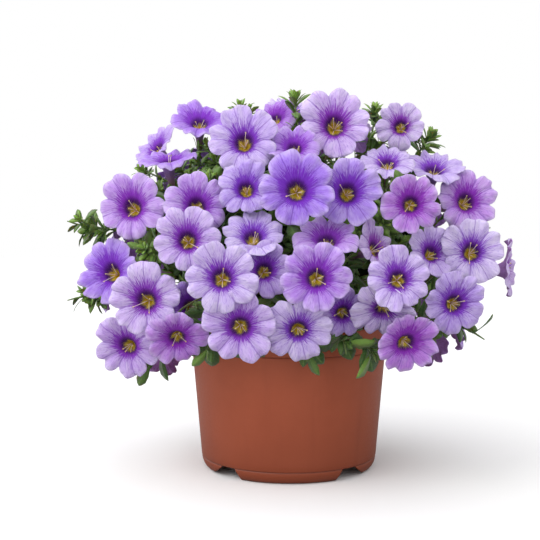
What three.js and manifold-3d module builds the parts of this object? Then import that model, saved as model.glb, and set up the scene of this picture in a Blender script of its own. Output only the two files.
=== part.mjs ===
// A calibrachoa in bloom, in a round plastic nursery pot.
// Millimetres, +Z up. The origin is the middle of the circle that the pot stands on, and -Y is the front.
import * as THREE from "three";
import { mergeVertices } from "three/addons/utils/BufferGeometryUtils.js";
import Module from "manifold-3d";

const wasm = await Module();
wasm.setup();
const { Manifold, Mesh } = wasm;
const RAD = Math.PI / 180;
const GOLDEN_TURN = 137.5 * RAD;

// ---- Driving dimensions ----

const POT_HEIGHT = 89;
const POT_SIDES = 36;
const WALL = 1.7;
const FOOT_HEIGHT = 7;
const BODY_FOOT_RADIUS = 54.8; // where the straight side begins, at BODY_FOOT_HEIGHT
const BODY_FOOT_HEIGHT = 12;
const BODY_TOP_RADIUS = 60.3;
const COLLAR_HEIGHT = 74.5; // the underside of the collar
const COLLAR_STEP = 1;
const FOOT_RADIUS = 49.6;
// Two slots run from front to back through the foot ring, either side: how far out each one's two walls are.
const SLOT_TOP = [31.7, 39.1];
const SLOT_GROUND = [27.3, 45.2];
const DRAIN_RADIUS = 4;

const SOIL_TOP = 80;
const SOIL_GAP = 0.45; // between the soil and the pot's faceted wall
const SOIL_SIDES = 18;
const HOLE_RADIUS = 2.1; // for a stem, in the soil
const HOLE_GAP = 0.35; // under a stem's foot

const STEM_RADIUS = 1.3; // where it leaves the soil
const STEM_TIP_RADIUS = 0.8;
const STEM_ROOT = 66; // a stem's lowest point, in the soil
const STEM_STEPS = 4;
const STEM_SIDES = 4;
// What is tried of a stem's reach until it clears the flowers.
const STEM_DRAWS = [1, 0.95, 0.9, 0.85, 0.8, 0.75, 0.7];
// The shares of a stem where a branch may leave it.
const BRANCH_FROM = [0.3, 0.35, 0.4, 0.45, 0.5, 0.55, 0.6, 0.65, 0.7, 0.75, 0.8, 0.85, 0.9, 0.95];
const BRANCH_RADIUS = 0.8;
const BRANCH_SIDES = 3;
const BUD_HEIGHT = 0.8; // of a leaf or branch where it leaves its stem
const BUD_APART = 1.5; // between the middles of two such places, or of one and a corner of the stem
const ROOM_SIDES = 6;
const CALYX_RADIUS = 2.2;
const CALYX_LENGTH = 6;
const SHOOT_END = 0.5;
const TOUCH = 0.3; // between a calyx and its flower, and between any two nodes

const LEAF_THICKNESS = 0.8;
const LEAF_RIB = 0.55; // the share of its length where its midrib is highest
// A leaf's outline from one side of its root round to the other: along it, across it and up, in its length.
const LEAF_OUTLINE = [
  [0.36, 0.13, 0.04],
  [0.74, 0.19, 0.03],
  [1, 0, -0.08],
  [0.74, -0.19, 0.03],
  [0.36, -0.13, 0.04],
];
// Leaves on a line: what stays bare at its start and its end, then their spacing and length.
const BRANCH_LEAVES = { start: 4, stop: 7.6, spacing: 30, length: 17 };
const STEM_LEAVES = { start: 66, stop: 1.6, spacing: 14, length: 17 };
// What is tried for each leaf: degrees that it swings round its stem, degrees that it opens from it, its scale.
const LEAF_TRIES = [[0, 55, 1], [40, 45, 0.9], [-40, 65, 0.85], [90, 50, 0.75], [180, 55, 0.7]];

// Stems: how many in each ring, the radius where they leave the soil, the first one's bearing from the
// front, the height that they rise to before they lean, and the radius and height of their tips.
const STEM_RINGS = [
  { count: 6, root: 21, first: 30, rise: 124, lean: 46, reach: 81, top: 104 },
  { count: 5, root: 12, first: 0, rise: 130, lean: 34, reach: 68, top: 150 },
  { count: 3, root: 5, first: 40, rise: 140, lean: 14, reach: 30, top: 178 },
];

// Flowers of the front: throat x, y, z, then the facing as a bearing (to the right) and a nod (upward) in
// degrees, the spin about the facing in degrees, and the diameter.
const FRONT_FLOWERS = [
  [-54, -17, 211, 5, 50, 10, 36],
  [-25, -62, 196, -5, 15, 0, 38],
  [26, -46, 207, 0, 8, 30, 41],
  [67, -18, 209, -8, 5, 14, 29],
  [-70, -37, 186, -20, 72, 50, 34],
  [-88, -58, 160, -12, 6, 20, 38],
  [-50, -77, 160, 8, 8, 64, 35],
  [-23, -80, 169, 0, 20, 40, 31],
  [4, -98, 168, 0, 0, 8, 39],
  [31, -88, 167, 5, 2, 52, 36],
  [3, -62, 192, 0, 42, 22, 30],
  [-8, -26, 212, -30, 40, 0, 31],
  [56, -50, 184, 0, 48, 12, 30],
  [86, -22, 182, 10, 58, 36, 36],
  [105, -24, 164, 14, 12, 60, 37],
  [65, -84, 161, 0, -8, 5, 32],
  [-53, -97, 142, 0, 5, 26, 35],
  [-19, -90, 143, 0, 42, 44, 34],
  [20, -89, 141, 0, 52, 15, 35],
  [46, -78, 137, 50, 20, 0, 30],
  [79, -62, 134, 20, 20, 33, 30],
  [102, -60, 135, 5, 5, 48, 36],
  [131, -14, 124, 72, 0, 20, 37],
  [-101, -52, 123, -25, 5, 34, 39],
  [56, -106, 122, 0, 0, 66, 33],
  [-34, -113, 123, 0, 0, 10, 36],
  [-13, -96, 126, 8, 5, 40, 31],
  [14, -110, 123, 0, -5, 24, 36],
  [-76, -88, 110, -5, -5, 56, 39],
  [91, -69, 107, 10, -8, 2, 35],
  [-56, -56, 104, 10, -8, 18, 29],
  [-25, -107, 98, 0, -12, 50, 38],
  [5, -102, 96, 5, -18, 32, 35],
  [29, -83, 103, 10, -15, 60, 29],
  [50, -94, 106, 0, -38, 12, 35],
  [-91, -59, 82, -14, -15, 28, 37],
  [-60, -87, 90, 4, -30, 46, 33],
  [62, -91, 88, 14, -22, 8, 35],
];

// Flowers of the sides and the crown, in the same terms.
const SIDE_FLOWERS = [
  [1, 0, 219, 20, 66, 0, 31],
  [-83, 12, 198, -50, 34, 20, 33],
  [-36, 16, 211, -30, 66, 40, 34],
  [36, 14, 211, 40, 66, 10, 35],
  [72, 22, 194, 72, 46, 30, 35],
  [-84, 24, 166, -94, 24, 10, 33],
  [-112, 4, 112, -88, 0, 0, 36],
  [-104, 8, 152, -88, 16, 25, 36],
  [-98, 4, 72, -90, -14, 40, 36],
  [106, 2, 90, 90, -10, 15, 36],
  [106, 16, 164, 92, 18, 35, 35],
];

// Sprays of the back, three flowers each, in rows: how many, the height of the row, its radius, the bearings
// that it runs between, and the nod of its sprays.
const BACK_ROWS = [
  { count: 4, height: 84, radius: 102, from: 100, to: 260, nod: -12 },
  { count: 4, height: 134, radius: 110, from: 105, to: 255, nod: 8 },
  { count: 3, height: 179, radius: 86, from: 108, to: 252, nod: 38 },
  { count: 1, height: 207, radius: 46, from: 170, to: 190, nod: 68 },
];
const BACK_DIAMETER = 36;
const SPRAY_SPACING = 0.91; // between the flowers of a spray, in diameters
const SPRAY_SPREAD = 13; // degrees that each of them leans away from the spray's middle

// Leafy shoots without a flower that show between the flowers: x, y, z of the tip, then its bearing and nod.
const SHOOT_TIPS = [
  [-136, -12, 152, -74, 18],
  [-134, -22, 104, -75, -14],
  [-30, -8, 224, -20, 70],
  [54, 6, 224, 10, 75],
  [90, 6, 208, 60, 55],
  [4, -36, 226, 0, 75],
  [126, 4, 148, 80, 20],
  [112, -50, 84, 60, -30],
  [-86, -68, 137, -40, 10],
  [-44, -64, 180, 0, 40],
  [-44, -84, 76, 0, -60],
  [-22, -88, 78, 0, -60],
  [10, -86, 76, 10, -50],
  [31, -84, 80, 10, -50],
  [47, -86, 76, 20, -40],
  [82, -66, 84, 30, -40],
  [-82, -58, 66, -40, -50],
  [58, -62, 152, 30, 10],
];

// Shoots of the back, as rows like those of its flowers.
const BACK_SHOOTS = [
  { count: 6, height: 80, radius: 74, from: 100, to: 260, nod: -40 },
  { count: 3, height: 108, radius: 104, from: 140, to: 220, nod: -10 },
  { count: 2, height: 156, radius: 104, from: 143, to: 217, nod: 25 },
];

// The core of the dense foliage, from which stems, branches and leaves come out.
const CORE_CENTRE = [0, -2, 142];
const CORE_REACH = [78, 58, 46];
const CORE_DETAIL = 2;
const CORE_UNEVEN = 0.16;

// Flowers whose petals touch, numbered from 1 in the front's list: each group is one node.
const TOUCHING = [[14, 15], [18, 27], [25, 35], [26, 32], [29, 37]];

// ---- Solids and meshes ----

/** A closed geometry as a manifold-3d solid. */
function solidOf(geometry) {
  const bare = new THREE.BufferGeometry();
  bare.setAttribute("position", geometry.getAttribute("position"));
  bare.setIndex(geometry.index);
  const merged = mergeVertices(bare, 1e-4);
  const vertProperties = merged.attributes.position.array;
  return new Manifold(new Mesh({ numProp: 3, vertProperties, triVerts: new Uint32Array(merged.index.array) }));
}

/** A solid from a list of points and a list of triangles that name them. */
function solidFrom(points, triangles) {
  const vertProperties = new Float32Array(points.flatMap((p) => [p.x, p.y, p.z]));
  return new Manifold(new Mesh({ numProp: 3, vertProperties, triVerts: new Uint32Array(triangles.flat()) }));
}

/** A manifold-3d solid as a named mesh. */
function meshOf(name, solid, material) {
  const { vertProperties, triVerts, numProp, numVert } = solid.getMesh();
  const position = new Float32Array(numVert * 3);
  for (let i = 0; i < numVert; i++)
    position.set(vertProperties.subarray(i * numProp, i * numProp + 3), i * 3);
  const geometry = new THREE.BufferGeometry();
  geometry.setAttribute("position", new THREE.BufferAttribute(position, 3));
  geometry.setIndex(new THREE.BufferAttribute(triVerts, 1));
  geometry.computeVertexNormals();
  const mesh = new THREE.Mesh(geometry, material);
  mesh.name = name;
  return mesh;
}

/** A solid of revolution round Z, from [radius, height] points that go round the profile. */
function turned(profile, sides) {
  const points = profile.map(([r, z]) => new THREE.Vector2(r, z));
  return solidOf(new THREE.LatheGeometry(points, sides).rotateX(Math.PI / 2));
}

/** The same random numbers on every run, from 0 to 1. */
function seeded(seed) {
  let state = seed >>> 0;
  return () => {
    state = (Math.imul(state, 1664525) + 1013904223) >>> 0;
    return state / 4294967296;
  };
}

const vec = (x, y, z) => new THREE.Vector3(x, y, z);
/** The point at a radius and height, on a bearing in degrees that starts at the front and grows rightward. */
const polar = (radius, bearing, height) =>
  vec(radius * Math.sin(bearing * RAD), -radius * Math.cos(bearing * RAD), height);
/** The unit vector of a bearing and a nod. */
const facing = (bearing, nod) => polar(Math.cos(nod * RAD), bearing, Math.sin(nod * RAD));

// ---- The pot ----

/** The outer radius of the pot's straight side at a height. */
function sideRadius(z) {
  const share = (z - BODY_FOOT_HEIGHT) / (COLLAR_HEIGHT - BODY_FOOT_HEIGHT);
  return BODY_FOOT_RADIUS + share * (BODY_TOP_RADIUS - BODY_FOOT_RADIUS);
}

function pot() {
  const collar = BODY_TOP_RADIUS + COLLAR_STEP;
  const floor = FOOT_HEIGHT + WALL;
  const profile = [
    [0, floor],
    [sideRadius(floor) - WALL - 3, floor],
    [sideRadius(BODY_FOOT_HEIGHT) - WALL, BODY_FOOT_HEIGHT],
    [sideRadius(COLLAR_HEIGHT) - WALL, COLLAR_HEIGHT],
    [collar - WALL + 0.6, POT_HEIGHT - 0.7],
    [collar - WALL + 1.2, POT_HEIGHT],
    [collar + 0.2, POT_HEIGHT],
    [collar + 0.6, POT_HEIGHT - 0.7],
    [collar, COLLAR_HEIGHT + 1.6],
    [sideRadius(COLLAR_HEIGHT), COLLAR_HEIGHT],
    [sideRadius(FOOT_HEIGHT), FOOT_HEIGHT + 0.4],
    [sideRadius(FOOT_HEIGHT) - 0.5, FOOT_HEIGHT],
    [sideRadius(FOOT_HEIGHT) - 1.1, FOOT_HEIGHT * 0.4],
    [FOOT_RADIUS, 0],
    [FOOT_RADIUS - 2.2, 0],
    [FOOT_RADIUS - 0.6, FOOT_HEIGHT],
    [0, FOOT_HEIGHT],
  ];
  let solid = turned(profile.reverse(), POT_SIDES);
  for (const way of [-1, 1]) solid = solid.subtract(slot(way));
  for (const bearing of [45, 135, 225, 315]) solid = solid.subtract(drain(bearing));
  return solid;
}

/** The slot through the foot ring on one side, wider at the ground than at its top. */
function slot(way) {
  const slope = (k) => (SLOT_GROUND[k] - SLOT_TOP[k]) / FOOT_HEIGHT;
  const wall = (k, z) => way * (SLOT_GROUND[k] - slope(k) * z);
  const end = POT_HEIGHT;
  const points = [];
  for (const z of [-1, FOOT_HEIGHT - 0.001])
    points.push(vec(wall(0, z), -end, z), vec(wall(1, z), -end, z), vec(wall(1, z), end, z), vec(wall(0, z), end, z));
  return Manifold.hull(points.map((p) => p.toArray()));
}

/** A drain hole through the floor. */
function drain(bearing) {
  const bore = new THREE.CylinderGeometry(DRAIN_RADIUS, DRAIN_RADIUS, FOOT_HEIGHT + WALL * 2, 8);
  const centre = polar(FOOT_RADIUS - 9, bearing, FOOT_HEIGHT + WALL);
  return solidOf(bore.rotateX(Math.PI / 2).translate(centre.x, centre.y, centre.z));
}

// ---- The soil ----

function soil(stems) {
  const bottom = FOOT_HEIGHT + WALL + SOIL_GAP;
  const wallAt = (z) => sideRadius(z) - WALL - SOIL_GAP;
  const lumps = (x, y) =>
    0.9 * Math.sin(x * 0.31 + 1) * Math.sin(y * 0.27 + 2) + 0.6 * Math.sin(x * 0.71 - y * 0.53);
  const edge = wallAt(COLLAR_HEIGHT);
  const profile = [
    [0, bottom],
    [wallAt(bottom) - 4.2, bottom],
    [wallAt(BODY_FOOT_HEIGHT) - 0.4, BODY_FOOT_HEIGHT],
    [edge, COLLAR_HEIGHT],
    [edge - 0.3, SOIL_TOP - 1],
    [edge * 0.72, SOIL_TOP],
    [edge * 0.42, SOIL_TOP + 1.4],
    [0, SOIL_TOP + 2],
  ];
  const geometry = new THREE.LatheGeometry(profile.map(([r, z]) => new THREE.Vector2(r, z)), SOIL_SIDES);
  geometry.rotateX(Math.PI / 2);
  const place = geometry.attributes.position;
  for (let i = 0; i < place.count; i++)
    if (place.getZ(i) > SOIL_TOP - 2) place.setZ(i, place.getZ(i) + lumps(place.getX(i), place.getY(i)));
  let solid = solidOf(geometry);
  for (const stem of stems) {
    const root = stem.foot;
    const depth = 2 * (SOIL_TOP - STEM_ROOT);
    const hole = new THREE.CylinderGeometry(HOLE_RADIUS, HOLE_RADIUS, depth, 5);
    hole.rotateX(Math.PI / 2).translate(root.x, root.y, STEM_ROOT - HOLE_GAP + depth / 2);
    solid = solid.subtract(solidOf(hole));
  }
  return solid;
}

// ---- Flowers ----

/** The frame of a flower: its centre, and unit vectors to its right, up its face and out of its face. */
function frameToward(centre, out, toward) {
  const right = toward.clone().addScaledVector(out, -toward.dot(out)).normalize();
  return { centre, right, top: out.clone().cross(right), out };
}

/** The frame of a flower that faces a bearing and a nod and is turned by a spin, in degrees. */
function frameOf(centre, bearing, nod, spin) {
  const level = frameToward(centre, facing(bearing, nod), polar(1, bearing + 90, 0));
  const toward = inFrame(level, Math.cos(spin * RAD), Math.sin(spin * RAD), 0).sub(centre);
  return frameToward(centre, level.out, toward);
}

const inFrame = (f, x, y, z) =>
  f.centre.clone().addScaledVector(f.right, x).addScaledVector(f.top, y).addScaledVector(f.out, z);

const PETALS = 5;
const PETAL_THICKNESS = 0.8;
const TUBE_LENGTH = 0.95; // of the flower's radius, as are the next
const TUBE_RADIUS = 0.1;
const THROAT_DEPTH = 0.5;
const MOUTH_RADIUS = 0.24;
const MIDDLE_RADIUS = 0.56;
const MIDDLE_RISE = 0.13;
const CLEFT_DIP = 0.02; // how much lower the middle is below a cleft
// Round one petal's edge: from the cleft between petals to its first shoulder, its notch and its second shoulder.
const EDGE_RADII = [0.78, 1, 0.95, 1];
const EDGE_RISES = [0.14, 0.22, 0.2, 0.22];

/** A flower as one thin trumpet: five joined petals, a throat and a tube. */
function flower({ frame: f, diameter }) {
  const radius = diameter / 2;
  const points = [];
  const triangles = [];
  const ring = (count, at) => {
    const first = points.length;
    for (let k = 0; k < count; k++) {
      const [r, z] = at(k);
      const a = (k / count) * 2 * Math.PI;
      points.push(inFrame(f, r * Math.cos(a), r * Math.sin(a), z));
    }
    return first;
  };
  const n = PETALS * 4;
  const edge = ring(n, (k) => [EDGE_RADII[k % 4] * radius, EDGE_RISES[k % 4] * radius]);
  const middleRise = (k) => MIDDLE_RISE - (k % 2 ? 0 : CLEFT_DIP);
  const middle = ring(n / 2, (k) => [MIDDLE_RADIUS * radius, middleRise(k) * radius]);
  const mouth = ring(PETALS, () => [MOUTH_RADIUS * radius, 0]);
  const under = ring(PETALS, () => [MOUTH_RADIUS * radius + PETAL_THICKNESS * 0.6, -PETAL_THICKNESS]);
  const tube = ring(PETALS, () => [TUBE_RADIUS * radius, -TUBE_LENGTH * radius]);
  const throat = points.length;
  points.push(inFrame(f, 0, 0, -THROAT_DEPTH * radius));
  const band = (inner, outer, count) => {
    for (let k = 0; k < count; k++) {
      const [a, b] = [inner + k, inner + ((k + 1) % count)];
      const [p, q, r] = [outer + 2 * k, outer + 2 * k + 1, outer + ((2 * k + 2) % (2 * count))];
      triangles.push([a, p, q], [a, q, b], [b, q, r]);
    }
  };
  band(middle, edge, n / 2);
  band(mouth, middle, PETALS);
  for (let k = 0; k < PETALS; k++) {
    const next = (k + 1) % PETALS;
    const [a, b] = [under + k, under + next];
    const e = [0, 1, 2, 3, 4].map((i) => edge + ((4 * k + i) % n));
    triangles.push([throat, mouth + k, mouth + next]);
    triangles.push([a, e[1], e[0]], [a, e[2], e[1]], [a, b, e[2]], [b, e[3], e[2]], [b, e[4], e[3]]);
    triangles.push([a, tube + next, b], [a, tube + k, tube + next]);
    if (k > 0 && next > 0) triangles.push([tube, tube + next, tube + k]);
  }
  return solidFrom(points, triangles);
}

const listed = (list) => list.map(([x, y, z, bearing, nod, spin, diameter]) => ({
  frame: frameOf(vec(x, y, z), bearing, nod, spin),
  diameter,
}));

/** The three flowers of a spray, which lean apart and turn a cleft to its middle, so that petals touch. */
function spray(centre, bearing, nod, spin) {
  const middle = frameOf(centre, bearing, nod, spin);
  const reach = (SPRAY_SPACING * BACK_DIAMETER) / Math.sqrt(3);
  return [0, 120, 240].map((turn) => {
    const [c, s] = [Math.cos(turn * RAD), Math.sin(turn * RAD)];
    const away = middle.right.clone().multiplyScalar(c).addScaledVector(middle.top, s);
    const out = middle.out.clone().addScaledVector(away, Math.tan(SPRAY_SPREAD * RAD)).normalize();
    const place = centre.clone().addScaledVector(away, reach);
    return { frame: frameToward(place, out, away.negate()), diameter: BACK_DIAMETER };
  });
}

/** The sprays of the back, in their rows, pointing up and down by turns. */
function backSprays() {
  const random = seeded(11);
  return BACK_ROWS.flatMap(({ count, height, radius, from, to, nod }) =>
    Array.from({ length: count }, (_, i) => {
      const bearing = from + ((to - from) * (i + 0.5)) / count;
      const centre = polar(radius, bearing, height + 5 * (random() - 0.5));
      return spray(centre, bearing, nod + 8 * (random() - 0.5), 90 + 60 * (i % 2) + 16 * (random() - 0.5));
    }),
  );
}

// ---- Lines, rods and leaves ----

/** The point at a share of a Bezier curve, from its control points. */
function bezier(control, t) {
  if (control.length === 1) return control[0].clone();
  return bezier(control.slice(1).map((p, i) => control[i].clone().lerp(p, t)), t);
}

/** The distance from a line's start to each of its points. */
function distances(points) {
  return points.reduce((all, p, i) => [...all, i ? all[i - 1] + p.distanceTo(points[i - 1]) : 0], []);
}

/** The point and the direction of a line at a distance from its start. */
function walk(points, distance) {
  const marks = distances(points);
  const i = Math.min(Math.max(marks.findIndex((mark) => mark > distance), 1), points.length - 1);
  const share = (distance - marks[i - 1]) / (marks[i] - marks[i - 1]);
  const direction = points[i].clone().sub(points[i - 1]).normalize();
  return { point: points[i - 1].clone().lerp(points[i], share), direction };
}

/** The rings of a line: one at each of its points, and one for each leaf or branch that leaves it, in order. */
function stationsOf({ points, radii, buds }) {
  const marks = distances(points);
  const corners = points.map((point, i) => {
    const [before, after] = [points[Math.max(i - 1, 0)], points[Math.min(i + 1, points.length - 1)]];
    const direction = after.clone().sub(before).normalize();
    return { distance: marks[i], point, direction, radius: radii[i] };
  });
  const budding = buds.map((bud) => {
    const i = marks.findIndex((mark) => mark > bud.distance);
    const share = (bud.distance - marks[i - 1]) / (marks[i] - marks[i - 1]);
    const radius = radii[i - 1] + (radii[i] - radii[i - 1]) * share;
    return { distance: bud.distance, ...walk(points, bud.distance), radius, bud };
  });
  return [...corners, ...budding].sort((a, b) => a.distance - b.distance);
}

/** Joins a ring of corners to the next ring of as many. */
function addBand(triangles, lower, upper) {
  lower.forEach((v, k) => {
    const next = (k + 1) % lower.length;
    triangles.push([v, lower[next], upper[next]], [v, upper[next], upper[k]]);
  });
}

/** Joins the four corners of an opening, the lower two first, to a ring of three that starts at its foot. */
function addFork(triangles, [a, b, c, d], [x, y, z]) {
  triangles.push([a, b, x], [b, y, x], [b, c, y], [c, z, y], [c, d, z], [d, x, z], [d, a, x]);
}

/** A line as a rod with all that grows on it. It starts with a cap, or from an opening in another line. */
function addLine(points, triangles, line, opening) {
  const { sides } = line;
  const stations = stationsOf(line);
  const first = stations[0].direction;
  let across = Math.abs(first.z) > 0.99 ? vec(1, 0, 0) : vec(0, 0, 1).cross(first);
  let lower = null; // the corners that the next ring joins on to
  if (opening) {
    stations.shift();
    across = points[opening[0]].clone().lerp(points[opening[1]], 0.5).sub(line.points[0]);
  }
  for (const { point, direction, radius, bud } of stations) {
    across.addScaledVector(direction, -across.dot(direction)).normalize();
    let side = 0;
    if (bud) {
      // Turn the ring by the least that brings the middle of one side round to the bud.
      const other = direction.clone().cross(across);
      const steps = (Math.atan2(bud.side.dot(other), bud.side.dot(across)) / (2 * Math.PI)) * sides - 0.5;
      side = (Math.round(steps) + 2 * sides) % sides;
      across.applyAxisAngle(direction, ((steps - Math.round(steps)) / sides) * 2 * Math.PI);
    }
    const other = direction.clone().cross(across);
    const corner = (k, lift) => {
      const a = (k / sides) * 2 * Math.PI;
      const p = point.clone().addScaledVector(direction, lift).addScaledVector(across, radius * Math.cos(a));
      points.push(p.addScaledVector(other, radius * Math.sin(a)));
      return points.length - 1;
    };
    const ring = Array.from({ length: sides }, (_, k) => corner(k, bud ? -BUD_HEIGHT / 2 : 0));
    if (lower) addBand(triangles, lower, ring);
    else if (opening) addFork(triangles, opening, ring);
    else for (let k = 1; k < sides - 1; k++) triangles.push([ring[0], ring[k + 1], ring[k]]);
    lower = ring;
    if (bud) {
      // The ring's two corners beside the bud are doubled, which makes an opening of some height.
      const next = (side + 1) % sides;
      const [a, b] = [ring[side], ring[next]];
      const [upA, upB] = [side, next].map((k) => corner(k, BUD_HEIGHT / 2));
      triangles.push([b, ring[(next + 1) % sides], upB], [ring[(side + sides - 1) % sides], a, upA]);
      if (bud.leaf) addLeaf(points, triangles, bud.leaf, [a, b, upA, upB]);
      else addLine(points, triangles, bud.branch, [a, b, upB, upA]);
      lower = ring.map((v, k) => (k === side ? upA : k === next ? upB : v));
    }
  }
  for (let k = 1; k < sides - 1; k++) triangles.push([lower[0], lower[k], lower[k + 1]]);
}

/** A line with all that grows on it as one solid. */
function rod(line) {
  const points = [];
  const triangles = [];
  addLine(points, triangles, line, null);
  return solidFrom(points, triangles);
}

/** A leaf's corners in its own frame: its outline from one side of the root to the other, then its midrib. */
function leafCorners({ root, axis, face, length }) {
  const side = face.clone().cross(axis);
  const at = ([u, v, w]) => {
    const p = root.clone().addScaledVector(axis, u * length).addScaledVector(side, v * length);
    return p.addScaledVector(face, w * length);
  };
  const rib = at([LEAF_RIB, 0, 0]).addScaledVector(face, LEAF_THICKNESS);
  return [...LEAF_OUTLINE.map(at), rib];
}

/** Joins a leaf to the four corners of an opening: domed above, flat below. */
function addLeaf(points, triangles, leaf, [a, b, upA, upB]) {
  const first = points.length;
  points.push(...leafCorners(leaf));
  const rib = points.length - 1;
  const outline = Array.from({ length: rib - first }, (_, k) => first + k);
  const above = [upB, ...outline, upA];
  const below = [b, ...outline, a];
  above.forEach((v, k) => triangles.push([rib, above[(k + 1) % above.length], v]));
  for (let k = 1; k < below.length - 1; k++) triangles.push([below[0], below[k], below[k + 1]]);
  triangles.push([upB, outline[0], b], [upA, a, outline.at(-1)]);
}

/** The room that a leaf takes, from its root on: a little larger than it is. */
function leafRoom(leaf) {
  const corners = [leaf.root.clone(), ...leafCorners({ ...leaf, length: leaf.length + 2 * TOUCH })];
  const shifted = (way) => corners.map((p) => p.clone().addScaledVector(leaf.face, way).toArray());
  return Manifold.hull([...shifted(TOUCH), ...shifted(-TOUCH)]);
}

/** The core: an uneven faceted ball. */
function core() {
  const random = seeded(3);
  const loose = new THREE.IcosahedronGeometry(1, CORE_DETAIL);
  const ball = mergeVertices(loose.deleteAttribute("normal").deleteAttribute("uv"));
  const place = ball.attributes.position;
  for (let i = 0; i < place.count; i++) {
    const swell = 1 + CORE_UNEVEN * (random() - 0.5);
    const corner = [place.getX(i), place.getY(i), place.getZ(i)];
    place.setXYZ(i, ...corner.map((v, k) => CORE_CENTRE[k] + v * CORE_REACH[k] * swell));
  }
  return solidOf(ball);
}

// ---- Growing: each new piece is kept only where it clears what the other nodes already hold ----

const placed = []; // each solid with its box, and the stem and the line that it belongs to, if any

function place(solid, stem, line) {
  placed.push({ solid, box: solid.boundingBox(), stem, line });
}

const apart = (a, b) => [0, 1, 2].some((k) => a.min[k] > b.max[k] || b.min[k] > a.max[k]);

/** Whether a solid crosses nothing that was placed, but for what it may join. */
function isClear(solid, mayJoin) {
  const box = solid.boundingBox();
  return placed.every((other) =>
    mayJoin(other) || apart(box, other.box) || solid.intersect(other.solid).volume() < 1e-6);
}

/** A line that is still bare, with the room that it takes: wider than it is, but no longer. */
function makeLine(points, radii, sides) {
  const wide = radii.map((r, i) => (r + (i < radii.length - 1 ? TOUCH : 0)) / Math.cos(Math.PI / ROOM_SIDES));
  return { points, radii, sides, buds: [], room: rod({ points, radii: wide, sides: ROOM_SIDES, buds: [] }) };
}

/** The foot of every stem, in the soil. */
function stemFeet() {
  return STEM_RINGS.flatMap((ring) =>
    Array.from({ length: ring.count }, (_, i) => {
      const bearing = ring.first + (i * 360) / ring.count;
      return { ring, bearing, foot: polar(ring.root, bearing, STEM_ROOT) };
    }),
  );
}

/** A stem that isn't branched yet: straight up, then over in one curve, drawn in until it clears the flowers. */
function growStem({ ring: { root, rise, lean, reach, top }, bearing, foot }, index) {
  for (const draw of STEM_DRAWS) {
    const control = [
      polar(root, bearing, SOIL_TOP + 7),
      polar(root + 2, bearing, (SOIL_TOP + 7 + rise) / 2),
      polar(lean * draw, bearing, rise),
      polar(reach * draw, bearing, rise + (top - rise) * draw),
    ];
    const curve = Array.from({ length: STEM_STEPS + 1 }, (_, i) => bezier(control, i / STEM_STEPS));
    const points = [foot, ...curve];
    const taper = (STEM_TIP_RADIUS - STEM_RADIUS) / (STEM_STEPS + 1);
    const line = makeLine(points, points.map((_, i) => STEM_RADIUS + taper * i), STEM_SIDES);
    if (!isClear(line.room, (other) => other.stem === "soil" || other.stem === "core")) continue;
    place(line.room, index, line);
    return { main: line, branches: [] };
  }
  throw new Error(`the stem at ${bearing} has no room`);
}

/** The places where a branch to a target can leave a stem, the most natural first. */
function branchStarts(stems, end, out) {
  const starts = stems.flatMap(({ main, branches }, index) => {
    const total = distances(main.points).at(-1);
    return BRANCH_FROM.map((share) => {
      const { point: from, direction } = walk(main.points, share * total);
      const span = end.clone().sub(from);
      const reach = span.length();
      const turn = 1 - span.dot(out) / reach;
      const cost = reach + 26 * turn + 4 * Math.max(0, 15 - reach) + 2 * branches.length;
      return { from, direction, distance: share * total, index, cost };
    });
  });
  return starts.sort((a, b) => a.cost - b.cost);
}

/** Grows a branch to a target from the first stem that can reach it, and says whether one could. */
function growBranch(stems, end, out, endRadius) {
  const neck = end.clone().addScaledVector(out, -CALYX_LENGTH);
  for (const { from, direction, distance, index } of branchStarts(stems, end, out)) {
    const { main, branches } = stems[index];
    if (main.buds.some((bud) => Math.abs(bud.distance - distance) < BUD_APART)) continue;
    const line = makeLine([from, neck, end], [BRANCH_RADIUS, BRANCH_RADIUS, endRadius], BRANCH_SIDES);
    if (!isClear(line.room, (other) => other.stem === index || other.stem === "core")) continue;
    const span = neck.clone().sub(from);
    const side = span.addScaledVector(direction, -span.dot(direction)).normalize();
    main.buds.push({ distance, side, branch: line });
    branches.push(line);
    place(line.room, index, line);
    return true;
  }
  return false;
}

/** Leaves on a line, from its tip back, each turned on by the golden angle, where there is room. */
function growLeaves(line, { start, stop, spacing, length }, random) {
  const { points, buds } = line;
  const marks = distances(points);
  const span = marks.at(-1) - stop - start;
  const count = Math.max(1, Math.round(span / spacing));
  for (let i = 0; i < count; i++) {
    const distance = marks.at(-1) - stop - (i * span) / count;
    const taken = [...marks, ...buds.map((bud) => bud.distance)];
    if (taken.some((mark) => Math.abs(mark - distance) < BUD_APART)) continue;
    const { point: root, direction } = walk(points, distance);
    const across = vec(0, 0, 1).cross(direction).normalize();
    const other = direction.clone().cross(across);
    const size = length * (0.85 + 0.3 * random());
    const turn = i * GOLDEN_TURN + 2 * Math.PI * random();
    for (const [swing, open, scale] of LEAF_TRIES) {
      const a = turn + swing * RAD;
      const side = across.clone().multiplyScalar(Math.cos(a)).addScaledVector(other, Math.sin(a));
      const [c, s] = [Math.cos(open * RAD), Math.sin(open * RAD)];
      const axis = direction.clone().multiplyScalar(c).addScaledVector(side, s);
      const face = direction.clone().multiplyScalar(s).addScaledVector(side, -c);
      const leaf = { root, axis, face, length: size * scale };
      const room = leafRoom(leaf);
      if (!isClear(room, (other) => other.line === line)) continue;
      buds.push({ distance, side, leaf });
      place(room);
      break;
    }
  }
}

// ---- The whole ----

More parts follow.
